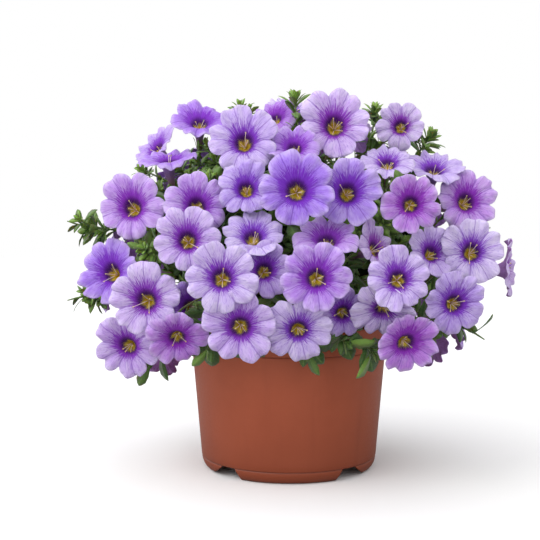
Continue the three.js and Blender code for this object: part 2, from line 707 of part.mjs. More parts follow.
const frontFlowers = listed(FRONT_FLOWERS);
const flowerNodes = [
  ...frontFlowers
    .map((one, i) => ({ name: `flower_${i + 1}`, number: i + 1, members: [one] }))
    .filter(({ number }) => !TOUCHING.some((numbers) => numbers.includes(number))),
  ...listed(SIDE_FLOWERS).map((one, i) => ({ name: `side_flower_${i + 1}`, members: [one] })),
  ...TOUCHING.map((numbers) => ({
    name: `flowers_${numbers.join("_")}`,
    members: numbers.map((number) => frontFlowers[number - 1]),
  })),
  ...backSprays().map((members, i) => ({ name: `back_spray_${i + 1}`, members })),
];
for (const node of flowerNodes) node.solids = node.members.map(flower);

const feet = stemFeet();
const coreSolid = core();
const potSolid = pot();
const soilSolid = soil(feet);
place(potSolid);
place(soilSolid, "soil");
place(coreSolid, "core");
for (const { solids } of flowerNodes) for (const solid of solids) place(solid);
const stems = feet.map(growStem);
for (const { name, members } of flowerNodes)
  for (const { frame, diameter } of members) {
    const back = (TUBE_LENGTH * diameter) / 2 + TOUCH;
    const end = frame.centre.clone().addScaledVector(frame.out, -back);
    if (!growBranch(stems, end, frame.out, CALYX_RADIUS)) throw new Error(`no stem reaches ${name}`);
  }

const shoots = SHOOT_TIPS.map(([x, y, z, bearing, nod]) => [vec(x, y, z), facing(bearing, nod)]);
for (const { count, height, radius, from, to, nod } of BACK_SHOOTS)
  for (let i = 0; i < count; i++) {
    const bearing = from + ((to - from) * i) / (count - 1);
    shoots.push([polar(radius, bearing, height), facing(bearing, nod)]);
  }
for (const [tip, out] of shoots)
  if (!growBranch(stems, tip, out, SHOOT_END))
    throw new Error(`no stem reaches the shoot at ${tip.toArray()}`);

const random = seeded(5);
for (const { main, branches } of stems) {
  for (const line of branches) growLeaves(line, BRANCH_LEAVES, random);
  growLeaves(main, STEM_LEAVES, random);
}

const TERRACOTTA = new THREE.MeshStandardMaterial({ color: 0x9c5238, roughness: 0.45, metalness: 0 });
const SOIL = new THREE.MeshStandardMaterial({ color: 0x2e2119, roughness: 1, metalness: 0 });
const LEAF = new THREE.MeshStandardMaterial({ color: 0x3f6b2c, roughness: 0.6, metalness: 0 });
const PETAL = new THREE.MeshStandardMaterial({ color: 0xb08ae0, roughness: 0.6, metalness: 0 });

const group = new THREE.Group();
group.add(meshOf("pot", potSolid, TERRACOTTA));
group.add(meshOf("soil", soilSolid, SOIL));
for (const { name, solids } of flowerNodes) group.add(meshOf(name, Manifold.union(solids), PETAL));
group.add(meshOf("leafy_stems", Manifold.union([coreSolid, ...stems.map(({ main }) => rod(main))]), LEAF));

export default group;
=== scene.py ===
# A calibrachoa in bloom in a round plastic nursery pot: the looks over its frame of solids.
# Lengths are worked out in millimetres and become metres when a mesh is made. +Z is up and -Y is the front.
import math

import bpy
import numpy as np
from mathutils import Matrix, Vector
from mathutils.bvhtree import BVHTree


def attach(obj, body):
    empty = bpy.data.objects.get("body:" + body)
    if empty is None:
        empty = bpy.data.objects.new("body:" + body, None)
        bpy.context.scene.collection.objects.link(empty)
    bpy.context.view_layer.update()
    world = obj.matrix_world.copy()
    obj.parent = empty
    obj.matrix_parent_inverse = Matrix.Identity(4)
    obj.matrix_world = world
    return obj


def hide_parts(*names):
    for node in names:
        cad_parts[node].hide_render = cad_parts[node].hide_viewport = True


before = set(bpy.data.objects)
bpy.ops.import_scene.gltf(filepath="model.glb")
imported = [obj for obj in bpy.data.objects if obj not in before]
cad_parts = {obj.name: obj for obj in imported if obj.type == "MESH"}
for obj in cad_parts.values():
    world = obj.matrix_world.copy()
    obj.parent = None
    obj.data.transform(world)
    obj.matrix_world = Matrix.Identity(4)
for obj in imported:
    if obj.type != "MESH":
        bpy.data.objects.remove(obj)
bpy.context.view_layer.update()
RAD = math.pi / 180
GOLDEN_TURN = 137.5 * RAD

# ---- Dimensions, as in the part's source ----

POT_HEIGHT, WALL, FOOT_HEIGHT = 89.0, 1.7, 7.0
BODY_FOOT_RADIUS, BODY_FOOT_HEIGHT = 54.8, 12.0
BODY_TOP_RADIUS, COLLAR_HEIGHT, COLLAR_STEP = 60.3, 74.5, 1.0
FOOT_RADIUS, SLOT_TOP, SLOT_GROUND = 49.6, (31.7, 39.1), (27.3, 45.2)
DRAIN_RADIUS, DRAIN_BEARINGS, SOIL_TOP = 4.0, (45, 135, 225, 315), 80.0

STEM_RADIUS, STEM_TIP_RADIUS, STEM_ROOT, STEM_STEPS = 1.3, 0.8, 66.0, 4
STEM_DRAWS = [1, 0.95, 0.9, 0.85, 0.8, 0.75, 0.7]
# Stems: count, root radius, first bearing, height of the rise, lean, reach and height of the tip.
STEM_RINGS = [(6, 21, 30, 124, 46, 81, 104), (5, 12, 0, 130, 34, 68, 150), (3, 5, 40, 140, 14, 30, 178)]
# Where a branch may leave its stem, and what counts against a place: the turn that the branch has to make,
# each millimetre that it is too short, and each branch that the stem has already.
BRANCH_FROM = [0.3 + 0.05 * i for i in range(14)]
TURN_COST, SHORT_COST, SHORT_BRANCH, CROWD_COST = 26, 4, 15, 2
NECK_RADIUS, BRANCH_SWELL = 0.45, 0.9
CALYX_LENGTH, TOUCH, BUD_APART = 6.0, 0.3, 1.5
BRANCH_LEAVES = {"start": 4, "stop": 7.6, "spacing": 30, "length": 17}
STEM_LEAVES = {"start": 66, "stop": 1.6, "spacing": 14, "length": 17}
LEAF_TRIES = [(0, 55, 1), (40, 45, 0.9), (-40, 65, 0.85), (90, 50, 0.75), (180, 55, 0.7)]

# Flowers of the front, 1 to 38: throat x, y, z, bearing, nod and spin in degrees, diameter.
FRONT_FLOWERS = [
    (-54, -17, 211, 5, 50, 10, 36), (-25, -62, 196, -5, 15, 0, 38), (26, -46, 207, 0, 8, 30, 41),
    (67, -18, 209, -8, 5, 14, 29), (-70, -37, 186, -20, 72, 50, 34), (-88, -58, 160, -12, 6, 20, 38),
    (-50, -77, 160, 8, 8, 64, 35), (-23, -80, 169, 0, 20, 40, 31), (4, -98, 168, 0, 0, 8, 39),
    (31, -88, 167, 5, 2, 52, 36), (3, -62, 192, 0, 42, 22, 30), (-8, -26, 212, -30, 40, 0, 31),
    (56, -50, 184, 0, 48, 12, 30), (86, -22, 182, 10, 58, 36, 36), (105, -24, 164, 14, 12, 60, 37),
    (65, -84, 161, 0, -8, 5, 32), (-53, -97, 142, 0, 5, 26, 35), (-19, -90, 143, 0, 42, 44, 34),
    (20, -89, 141, 0, 52, 15, 35), (46, -78, 137, 50, 20, 0, 30), (79, -62, 134, 20, 20, 33, 30),
    (102, -60, 135, 5, 5, 48, 36), (131, -14, 124, 72, 0, 20, 37), (-101, -52, 123, -25, 5, 34, 39),
    (56, -106, 122, 0, 0, 66, 33), (-34, -113, 123, 0, 0, 10, 36), (-13, -96, 126, 8, 5, 40, 31),
    (14, -110, 123, 0, -5, 24, 36), (-76, -88, 110, -5, -5, 56, 39), (91, -69, 107, 10, -8, 2, 35),
    (-56, -56, 104, 10, -8, 18, 29), (-25, -107, 98, 0, -12, 50, 38), (5, -102, 96, 5, -18, 32, 35),
    (29, -83, 103, 10, -15, 60, 29), (50, -94, 106, 0, -38, 12, 35), (-91, -59, 82, -14, -15, 28, 37),
    (-60, -87, 90, 4, -30, 46, 33), (62, -91, 88, 14, -22, 8, 35),
]
SIDE_FLOWERS = [
    (1, 0, 219, 20, 66, 0, 31), (-83, 12, 198, -50, 34, 20, 33), (-36, 16, 211, -30, 66, 40, 34),
    (36, 14, 211, 40, 66, 10, 35), (72, 22, 194, 72, 46, 30, 35), (-84, 24, 166, -94, 24, 10, 33),
    (-112, 4, 112, -88, 0, 0, 36), (-104, 8, 152, -88, 16, 25, 36), (-98, 4, 72, -90, -14, 40, 36),
    (106, 2, 90, 90, -10, 15, 36), (106, 16, 164, 92, 18, 35, 35),
]
TOUCHING = [(14, 15), (18, 27), (25, 35), (26, 32), (29, 37)]
# How blue (below 0) or pink (above 0) a flower of the front is, and how pale; the others are drawn.
BLUE_PINK = {
    9: -0.5, 10: -0.5, 24: -0.4, 31: -0.3, 34: -0.2, 15: 0.6, 16: 0.7, 20: 0.8, 23: 0.8, 36: 0.2, 37: 0.6,
    38: 0.7,
}
# Paleness is partly each flower's own tone and partly painted light: a flower that faces down into shade,
# such as 35, is set paler to make up for it.
PALE = {
    1: 0.0, 2: 0.75, 3: 0.8, 4: 0.95, 5: 0.15, 6: 0.4, 7: 0.4, 8: 0.5, 9: 0.1, 10: 0.3, 11: 0.2, 12: 0.1,
    16: 0.2, 20: 0.8, 22: 1.0, 24: 0.15, 25: 0.75, 26: 0.85, 28: 0.25, 29: 0.85, 30: 0.55, 31: 0.0,
    33: 0.9, 34: 0.55, 35: 1.0, 36: 0.65, 37: 0.15, 38: 0.05,
}
# Sprays of the back: count, height, radius, first and last bearing, nod; then how far what is drawn reaches.
BACK_ROWS = [
    (4, 84, 102, 100, 260, -12), (4, 134, 110, 105, 255, 8),
    (3, 179, 86, 108, 252, 38), (1, 207, 46, 170, 190, 68),
]
BACK_DIAMETER, SPRAY_SPACING, SPRAY_SPREAD = 36, 0.91, 13
SPRAY_SHIFT, SPRAY_TILT, SPRAY_SPIN = 5, 8, 16
# Shoots without a flower: tip x, y, z, bearing and nod; those of the back as rows like the sprays'.
SHOOT_TIPS = [
    (-136, -12, 152, -74, 18), (-134, -22, 104, -75, -14), (-30, -8, 224, -20, 70), (54, 6, 224, 10, 75),
    (90, 6, 208, 60, 55), (4, -36, 226, 0, 75), (126, 4, 148, 80, 20), (112, -50, 84, 60, -30),
    (-86, -68, 137, -40, 10), (-44, -64, 180, 0, 40), (-44, -84, 76, 0, -60), (-22, -88, 78, 0, -60),
    (10, -86, 76, 10, -50), (31, -84, 80, 10, -50), (47, -86, 76, 20, -40), (82, -66, 84, 30, -40),
    (-82, -58, 66, -40, -50), (58, -62, 152, 30, 10),
]
BACK_SHOOTS = [(6, 80, 74, 100, 260, -40), (3, 108, 104, 140, 220, -10), (2, 156, 104, 143, 217, 25)]
TUFTS = [
    (-50, -12, 198), (-57, -6, 190), (-45, -16, 189), (-60, -14, 179), (-91, -2, 184), (-51, -20, 179),
    (-70, 2, 186), (-38, -4, 202), (-80, -10, 172),
]
CORE_CENTRE = np.array([0.0, -2.0, 142.0])
CORE_REACH = np.array([78.0, 58.0, 46.0])
RIM_SHOOT_HEIGHT = 88  # a shoot whose tip is lower hangs over the pot's rim
UPRIGHT = 0.8  # how much of its direction is up, for a shoot that looks up

# ---- Places and directions ----


def unit(v):
    """A vector, or each row of an array of them, over its own length."""
    return v / np.linalg.norm(v, axis=-1, keepdims=True)


def polar(radius, bearing, height):
    """The point on a bearing in degrees: radius times sine, minus radius times cosine, height."""
    return np.array([radius * math.sin(bearing * RAD), -radius * math.cos(bearing * RAD), height])


def around(radius, angle, height):
    """Points round the axis: the radius times the cosine and the sine of the angle, and the height."""
    return np.stack(np.broadcast_arrays(radius * np.cos(angle), radius * np.sin(angle), height), -1)


def facing(bearing, nod):
    """The direction on a bearing that looks up by a nod: the nod's cosine outwards, and its sine up."""
    return polar(math.cos(nod * RAD), bearing, math.sin(nod * RAD))


def frame_toward(centre, out, toward):
    """Rows: centre, right (toward, less its part along out), up the face (out cross right), out."""
    right = unit(toward - np.dot(toward, out) * out)
    return np.array([centre, right, np.cross(out, right), out])


def in_face(f, turn):
    """The direction in a frame's face at a turn in degrees: its cosine right, and its sine up the face."""
    return f[1] * math.cos(turn * RAD) + f[2] * math.sin(turn * RAD)


def frame_of(centre, bearing, nod, spin):
    """The frame that faces a bearing and a nod, with its right turned up by the spin."""
    level = frame_toward(centre, facing(bearing, nod), polar(1, bearing + 90, 0))
    return frame_toward(centre, level[3], in_face(level, spin))


def in_frame(f, points):
    """Points that are given along a frame's three axes."""
    return f[0] + points @ f[1:]


def side_of(direction, turn, beside):
    """The side of a line at a turn round it. The first side is square to the line and to a direction beside
    it; the side is the first times the cosine, plus the line cross the first times the sine."""
    first = unit(np.cross(direction, beside))
    turn = np.asarray(turn)[..., None]
    return first * np.cos(turn) + np.cross(direction, first) * np.sin(turn)


def opened(direction, side, angle):
    """A leaf's axis, opened from a direction to a side by an angle, and its face, a quarter turn back."""
    angle = np.asarray(angle)[..., None]
    return direction * np.cos(angle) + side * np.sin(angle), direction * np.sin(angle) - side * np.cos(angle)


def seeded(seed):
    """Random numbers from 0 to 1: each state is the last times 1664525 plus 1013904223, modulo 2**32."""
    state = seed
    while True:
        state = (state * 1664525 + 1013904223) % 2**32
        yield state / 2**32


def spray(centre, bearing, nod, spin):
    """Three flowers, each a third of a turn on round a middle, leaning from it, a cleft turned to it."""
    middle = frame_of(centre, bearing, nod, spin)
    members = []
    for turn in (0, 120, 240):
        away = in_face(middle, turn)
        out = unit(middle[3] + away * math.tan(SPRAY_SPREAD * RAD))
        place = centre + away * SPRAY_SPACING * BACK_DIAMETER / math.sqrt(3)
        members.append((frame_toward(place, out, -away), BACK_DIAMETER, 0))
    return members


def flower_nodes():
    """Every flower node's name with its flowers: frame, diameter, and its number in the front's list or 0."""
    placed = lambda row, number: (frame_of(np.array(row[:3], float), *row[3:6]), row[6], number)
    front = [placed(row, i + 1) for i, row in enumerate(FRONT_FLOWERS)]
    touching = {n for group in TOUCHING for n in group}
    nodes = [(f"flower_{one[2]}", [one]) for one in front if one[2] not in touching]
    nodes += [(f"side_flower_{i + 1}", [placed(row, 0)]) for i, row in enumerate(SIDE_FLOWERS)]
    nodes += [("flowers_" + "_".join(map(str, group)), [front[n - 1] for n in group]) for group in TOUCHING]
    draw = seeded(11)
    sprays = []
    for count, height, radius, first, last, nod in BACK_ROWS:
        for i in range(count):
            bearing = first + (last - first) * (i + 0.5) / count
            centre = polar(radius, bearing, height + SPRAY_SHIFT * (next(draw) - 0.5))
            tilt = nod + SPRAY_TILT * (next(draw) - 0.5)
            sprays.append(spray(centre, bearing, tilt, 90 + 60 * (i % 2) + SPRAY_SPIN * (next(draw) - 0.5)))
    return nodes + [(f"back_spray_{i + 1}", members) for i, members in enumerate(sprays)]


# ---- Meshes ----


def stand(name, data, place=(0, 0, 0), turn=(0, 0, 0)):
    """An object of the scene, at a place and turned by three angles."""
    made = bpy.data.objects.new(name, data)
    made.location, made.rotation_euler = place, turn
    bpy.context.scene.collection.objects.link(made)
    return made


def make_piece(name, parts, materials, crease=None):
    """One mesh object from parts: each has points, face arrays, values by name, and a material index."""
    points, loops, starts, slots = [], [], [], []
    values = {key: [] for key in parts[0]["values"]}
    base = corner = 0
    for part in parts:
        count = len(part["points"])
        points.append(part["points"])
        for faces in part["faces"]:
            loops.append((faces + base).ravel())
            starts.append(corner + np.arange(len(faces)) * faces.shape[1])
            corner += faces.size
            slots.append(np.full(len(faces), part.get("material", 0)))
        for key in values:
            values[key].append(part["values"].get(key, np.zeros((count, 3))))
        base += count
    points, loops, starts, slots = (np.concatenate(a) for a in (points, loops, starts, slots))
    mesh = bpy.data.meshes.new(name)
    mesh.vertices.add(len(points))
    mesh.vertices.foreach_set("co", (points / 1000).astype(np.float32).ravel())
    mesh.loops.add(len(loops))
    mesh.loops.foreach_set("vertex_index", loops.astype(np.int32))
    mesh.polygons.add(len(starts))
    mesh.polygons.foreach_set("loop_start", starts.astype(np.int32))
    mesh.polygons.foreach_set("material_index", slots.astype(np.int32))
    mesh.polygons.foreach_set("use_smooth", np.ones(len(starts), bool))
    for key, rows in values.items():
        layer = mesh.attributes.new(key, "FLOAT_VECTOR", "POINT")
        layer.data.foreach_set("vector", np.concatenate(rows).astype(np.float32).ravel())
    mesh.update(calc_edges=True)
    mesh.validate()
    if crease:
        mesh.set_sharp_from_angle(angle=crease * RAD)
    for material in materials:
        mesh.materials.append(material)
    return stand(name, mesh)


def shell_faces(rows, cols):
    """Faces of a closed shell: a pole, rows of columns that go round, a pole. A quad joins two rows."""
    i, j = np.meshgrid(np.arange(rows - 1), np.arange(cols), indexing="ij")
    k = (j + 1) % cols
    quads = np.stack([i * cols + j, i * cols + k, (i + 1) * cols + k, (i + 1) * cols + j], -1)
    j = np.arange(cols)
    k = (j + 1) % cols
    last = 1 + rows * cols
    head = np.stack([np.zeros_like(j), 1 + k, 1 + j], -1)
    tail = np.stack([np.full_like(j, last), last - cols + j, last - cols + k], -1)
    return [1 + quads.reshape(-1, 4), np.concatenate([head, tail])]


def shell(rows, first, last, values=lambda points: {}):
    """A closed shell as a part: its first pole, its rows of points, and its last pole."""
    rows = np.asarray(rows)
    points = np.concatenate([[first], rows.reshape(-1, 3), [last]])
    return {"points": points, "faces": shell_faces(*rows.shape[:2]), "values": values(points)}


def ball_grid(rows, cols):
    """Rows of a unit ball from its foot up, by an angle v down it and h round it: sine of v times the cosine
    and the sine of h, and minus the cosine of v. Gives v, h and the points."""
    v = np.linspace(0, math.pi, rows + 2)[1:-1, None]
    h = np.arange(cols) / cols * 2 * math.pi
    return v, h, around(np.sin(v), h, -np.cos(v))


def all_over(name, x, y=0.0, z=0.0):
    """The same three values at every point of a part."""
    return lambda points: {name: np.tile(np.array([x, y, z], float), (len(points), 1))}


def rod(points, radii, sides, values=lambda points: {}):
    """A round rod along a line: a ring is its point plus the radius times a circle across the line."""
    points, radii = np.asarray(points, float), np.asarray(radii, float)
    along = unit(np.gradient(points, axis=0))
    across = np.cross(along, [0.0, 0.0, 1.0])
    flat = np.linalg.norm(across, axis=1) < 0.05
    across[flat] = np.cross(along[flat], [0.0, 1.0, 0.0])
    for i in range(1, len(points)):  # carry the first ring's start along, so that the rod doesn't twist
        across[i] = across[i - 1] - np.dot(across[i - 1], along[i]) * along[i]
    across = unit(across)
    other = np.cross(along, across)
    a = np.linspace(0, 2 * math.pi, sides, endpoint=False)
    circle = across[:, None] * np.cos(a)[None, :, None] + other[:, None] * np.sin(a)[None, :, None]
    return shell(points[:, None] + circle * radii[:, None, None], points[0], points[-1], values)


# ---- Flowers. Every length in a flower is a share of its radius. ----

PETAL_COLUMNS = 18
CLEFT_RADIUS = 0.78
# The outside of the tube and the inside of the throat: radius and height.
TUBE_LENGTH = 0.95
TUBE = [(0.1, -TUBE_LENGTH), (0.108, -0.78), (0.128, -0.58), (0.158, -0.4), (0.2, -0.22), (0.262, -0.06)]
THROAT = [(0.2, -0.09), (0.166, -0.14), (0.13, -0.2), (0.09, -0.26), (0.045, -0.3)]
THROAT_FLOOR = -0.31
LIMB_RADII = [0.24, 0.33, 0.45, 0.56, 0.75, 0.9, 1.1]
LIMB_RISES = [-0.03, 0.05, 0.105, 0.14, 0.185, 0.205, 0.2]
EYE_SINK = 0.09  # how far the eye lies below the middle of the petals
BACK_START, BACK_SHARES = 0.275, [0.2, 0.5, 0.8, 1.0]
FACE_START, FACE_SHARES = 0.24, [1.0, 0.94, 0.86, 0.76, 0.66, 0.54, 0.42, 0.3, 0.18, 0.07]
FOOT_THICKNESS, THINNING = 0.032, 0.018  # of a petal
# What each petal draws for itself, in this order: the least and the most.
PETAL_DRAWS = {
    "skew": (-0.14, 0.14), "notch": (0.0, 0.1), "notch_width": (0.1, 0.2), "length": (0.97, 1.07),
    "slant": (-0.04, 0.04), "crease": (0.02, 0.05), "bulge": (0.03, 0.06), "lift": (-0.1, 0.06),
    "ruffle": (0.015, 0.045), "waves": (2.2, 3.6), "phase": (0, 6.3), "roll": (-0.03, 0.13),
}
SCALLOP, CLEFT_DEPTH = 0.011, 0.07
STALK_ROOT = -0.29
STALK_RADIUS, CAP_RADIUS, CAP_REACH = 0.26, 0.36, 0.55  # of a stamen, in millimetres


def petal_shape(rng):
    """Five joined petals by column: its angle, its place across its petal from -1 to 1, its reach, and the
    terms of its rise. The reach falls from the petal's own to the cleft's with the place to the power 4.6."""
    place = np.tile(-1 + 2 * np.arange(PETAL_COLUMNS) / PETAL_COLUMNS, 5)
    own = {key: np.repeat(rng.uniform(*ends, 5), PETAL_COLUMNS) for key, ends in PETAL_DRAWS.items()}
    skewed = place + own["skew"] * (1 - place**2)
    tip = own["length"] - own["notch"] * np.exp(-((skewed / own["notch_width"]) ** 2))
    tip = tip + own["slant"] * place + SCALLOP * np.sin(10 * skewed + 60 * own["length"])
    crease = own["crease"] * np.exp(-((skewed / 0.1) ** 2))
    return {
        "angle": np.arange(5 * PETAL_COLUMNS) / (5 * PETAL_COLUMNS) * 2 * math.pi,
        "place": place,
        "reach": CLEFT_RADIUS + (tip - CLEFT_RADIUS) * (1 - np.abs(skewed) ** 4.6),
        "crease": crease + CLEFT_DEPTH * np.exp(-(((1 - np.abs(place)) / 0.14) ** 2)),
        "bulge": own["bulge"] * np.sin(math.pi * np.abs(skewed)) ** 2,
        "lift": own["lift"] * (1 - place**2),
        "ruffle": own["ruffle"] * np.sin(own["waves"] * math.pi * place + own["phase"]) * (1 - place**4),
        "roll": own["roll"] * (1 - place**4),
    }


def face_rise(radius, shape):
    """A petal's rise at a radius: the limb's line, plus bulges, creases and ruffles that grow outwards."""
    grow = np.clip((radius - FACE_START) / 0.6, 0, 1.3)
    edge = np.clip((radius / shape["reach"] - 0.72) / 0.28, 0, 1)
    rise = np.interp(radius, LIMB_RADII, LIMB_RISES)
    rise = rise + grow * (shape["bulge"] - shape["crease"]) + grow**2 * shape["lift"]
    return rise + grow**3 * shape["ruffle"] - edge**2 * shape["roll"]


def upward(f):
    """The direction up, as it lies in a flower's face."""
    return unit(np.array([f[1][2], f[2][2]]) + 1e-6)


def eye_sink(local):
    """How far a point slides down a flower's face: most at the eye, none far out or at the tube's end."""
    across = np.linalg.norm(local[:, :2], axis=1)
    return EYE_SINK * np.clip(1.6 - across / 0.36, 0, 1) * np.clip((local[:, 2] + TUBE_LENGTH) / 0.6, 0, 1)


def bloom(f, diameter, tone, pale, rng):
    """A flower as one closed shell: up the outside of the tube, out under the petals, over the edge and back.
    Its values: its own place, how it is coloured, and how deep, far out and high up its face a point is."""
    shape = petal_shape(rng)
    ones = np.ones(len(shape["angle"]))
    lobes = 1 + 0.05 * np.cos(5 * shape["angle"] + math.pi)
    rows = [(r * (lobes if z > -0.5 else ones), z * ones, ones) for r, z in TUBE]
    for share in BACK_SHARES:
        r = BACK_START + (shape["reach"] - BACK_START) * share
        rows.append((r, face_rise(r, shape) - FOOT_THICKNESS + THINNING * share, ones))
    for share in FACE_SHARES:
        r = FACE_START + (shape["reach"] - FACE_START) * share
        rows.append((r, face_rise(r, shape) + 0.004 * (share < 1), 0 * ones))
    rows += [(r * lobes, z * ones, 0 * ones) for r, z in THROAT]
    r, z, behind = (np.array(column) for column in zip(*rows))
    part = shell(around(r, shape["angle"], z), [0, 0, -TUBE_LENGTH], [0, 0, THROAT_FLOOR])
    local = part["points"]
    ends = lambda grid, first: np.concatenate([[first], grid.ravel(), [0]])
    all_of = lambda value: np.full(len(local), value)
    middle = np.abs(shape["place"]) * np.ones_like(r)
    up = upward(f)
    part["values"] = {
        "spot": np.stack([local[:, 0], local[:, 1], ends(middle, 0)], -1),
        "mood": np.stack([all_of(tone), all_of(pale), ends(behind, 1) + local[:, 2] * 0.001], -1),
        "depth": np.stack([local[:, 2], ends(r / shape["reach"], 0), all_of(rng.uniform(0, 9))], -1),
        "high": np.stack([local[:, :2] @ up, all_of(0), all_of(0)], -1),
    }
    local[:, :2] -= up * eye_sink(local)[:, None]
    part["points"] = in_frame(f, local * diameter / 2)
    return part


def strands(f, diameter, rng):
    """Five stamens and a style: rods that rise from the throat's floor, lean out, and end in an oval."""
    parts = []
    t = np.linspace(0, 1, 5)
    for i in range(6):
        turn = i * 72 * RAD + rng.uniform(-0.5, 0.5)
        lean = rng.uniform(0.08, 0.36) if i < 5 else 0.16
        top = rng.uniform(-0.16, 0.2) if i < 5 else rng.uniform(0.05, 0.24)
        out = 0.02 + (lean - 0.02) * t**1.4
        line = around(out, turn, STALK_ROOT + (top - STALK_ROOT) * t)
        line[:, :2] -= upward(f) * EYE_SINK
        line *= diameter / 2
        radii = STALK_RADIUS * np.array([1.0, 0.8, 0.7, 0.6, 0.6])
        parts.append(rod(in_frame(f, line), radii, 5, all_over("spot", i == 5, 0.5)))
        way = unit(line[-1] - line[-2])
        tip = line[-1] + way * CAP_REACH * np.array([-0.9, -0.6, 0.0, 0.6, 0.9])[:, None]
        radii = CAP_RADIUS * np.array([0.35, 0.85, 1.0, 0.85, 0.35])
        parts.append(rod(in_frame(f, tip), radii, 6, all_over("spot", i == 5, 1.0)))
    for part in parts:
        part["material"] = 1
    return parts


# ---- Leaves ----

LEAF_STATIONS = np.array([0.0, 0.22, 0.5, 0.75, 0.92])
LEAF_WIDTHS = np.array([0.04, 0.095, 0.18, 0.18, 0.085])
LEAF_RISES = np.array([0.0, 0.03, 0.042, 0.02, -0.03])
LEAF_TIP = 0.08  # how far the tip hangs below the root


def leaf_faces():
    """A leaf's faces: at each station left, rib, right and under the rib, then one tip."""
    quads = [(0, 3, 2, 1)]
    for a in range(0, 4 * (len(LEAF_STATIONS) - 1), 4):
        b = a + 4
        quads += [(a, a + 1, b + 1, b), (a + 1, a + 2, b + 2, b + 1)]
        quads += [(a + 3, a, b, b + 3), (a + 2, a + 3, b + 3, b + 2)]
    e = 4 * (len(LEAF_STATIONS) - 1)
    ends = [(e, e + 1), (e + 1, e + 2), (e + 3, e), (e + 2, e + 3)]
    return np.array(quads), np.array([(*pair, e + 4) for pair in ends])


def leaf_parts(root, axis, face, length, slim, bend, tint):
    """Many leaves as one part. A leaf's point is its root plus its length times: the station along its axis,
    the half width to either side, and the rise, less the bend times the station squared, along its face."""
    root, axis, face = (np.asarray(a, float) for a in (root, axis, face))
    length, slim, bend, tint = (np.asarray(a, float)[:, None] for a in (length, slim, bend, tint))
    side = np.cross(face, axis)
    u = np.concatenate([np.repeat(LEAF_STATIONS, 4), [1.0]])
    v = np.concatenate([(LEAF_WIDTHS[:, None] * [-1, 0, 1, 0]).ravel(), [0.0]])
    lift = np.concatenate([(LEAF_RISES[:, None] + [[0, 0.012, 0, -0.02]]).ravel(), [-LEAF_TIP]])
    up = lift - bend * u**2
    reach = axis[:, None] * u[None, :, None] + side[:, None] * (slim * v)[..., None]
    points = root[:, None] + length[..., None] * (reach + face[:, None] * up[..., None])
    across = np.concatenate([np.tile([-1.0, 0, 1, 0], len(LEAF_STATIONS)), [0.0]])
    blade = np.stack(np.broadcast_arrays(u[None], across[None], tint), -1).reshape(-1, 3)
    shift = (np.arange(len(root)) * len(u))[:, None, None]
    faces = [(kind[None] + shift).reshape(-1, kind.shape[1]) for kind in leaf_faces()]
    return {"points": points.reshape(-1, 3), "faces": faces, "values": {"blade": blade}}


def whorl(rng, centre, out, count, low, high, open_from, open_to, run=4.5):
    """Leaves round a shoot's tip, over a run of it: each turned on by the golden angle, and opened less and
    smaller towards the middle."""
    turn = np.arange(count) * GOLDEN_TURN + rng.uniform(0, 6.3)
    side = side_of(out, turn, [0.3, 0.2, 1.0] if abs(out[2]) < 0.9 else [1.0, 0.2, 0.1])
    share = (np.arange(count) + rng.uniform(0, 0.6, count)) / count
    axis, face = opened(out, side, (open_from + (open_to - open_from) * share) * RAD)
    root = centre - out * (run * share)[:, None]
    return root, axis, face, low + (high - low) * share * rng.uniform(0.8, 1.15, count)


# ---- Stems: they grow as in the part's source, and the solid shows what that chose ----


def bezier(control, t):
    """The point at a share of a Bezier curve: its control points are joined in pairs until one is left."""
    control = [np.asarray(c, float) for c in control]
    while len(control) > 1:
        control = [a + (b - a) * t for a, b in zip(control, control[1:])]
    return control[0]


def marks_of(points):
    """How far along a line each of its corners is."""
    return np.concatenate([[0.0], np.cumsum(np.linalg.norm(np.diff(points, axis=0), axis=1))])


def walk(points, distance):
    """The point and the direction of a line at a distance from its start."""
    marks = marks_of(points)
    i = min(max(int(np.searchsorted(marks, distance, side="right")), 1), len(points) - 1)
    leg = points[i] - points[i - 1]
    return points[i - 1] + leg * ((distance - marks[i - 1]) / np.linalg.norm(leg)), unit(leg)


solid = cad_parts["leafy_stems"].data
corners = np.empty(len(solid.vertices) * 3)
solid.vertices.foreach_get("co", corners)
corners = corners.reshape(-1, 3) * 1000
green_solid = BVHTree.FromPolygons([Vector(p) for p in corners], [tuple(p.vertices) for p in solid.polygons])


def off_solid(point):
    """How far a point is from the surface of the solid growth."""
    return green_solid.find_nearest(Vector(point))[3]


def near_corner(point):
    """How far a point is from the nearest corner of the solid growth."""
    return np.linalg.norm(corners - point, axis=1).min()


def in_core(point):
    """Whether a point is in the core or close to its uneven surface."""
    return np.linalg.norm((point - CORE_CENTRE) / CORE_REACH) < 1.1


def grow_stem(bearing, root, rise, lean, reach, top):
    """A stem: from its foot straight up, then over in one curve, with the draw whose tip the solid shows."""
    lines = []
    for draw in STEM_DRAWS:
        control = [
            polar(root, bearing, SOIL_TOP + 7),
            polar(root + 2, bearing, (SOIL_TOP + 7 + rise) / 2),
            polar(lean * draw, bearing, rise),
            polar(reach * draw, bearing, rise + (top - rise) * draw),
        ]
        curve = [bezier(control, i / STEM_STEPS) for i in range(STEM_STEPS + 1)]
        lines.append(np.array([polar(root, bearing, STEM_ROOT), *curve]))
    return min(lines, key=lambda line: round(abs(near_corner(line[-1]) - STEM_TIP_RADIUS), 2))


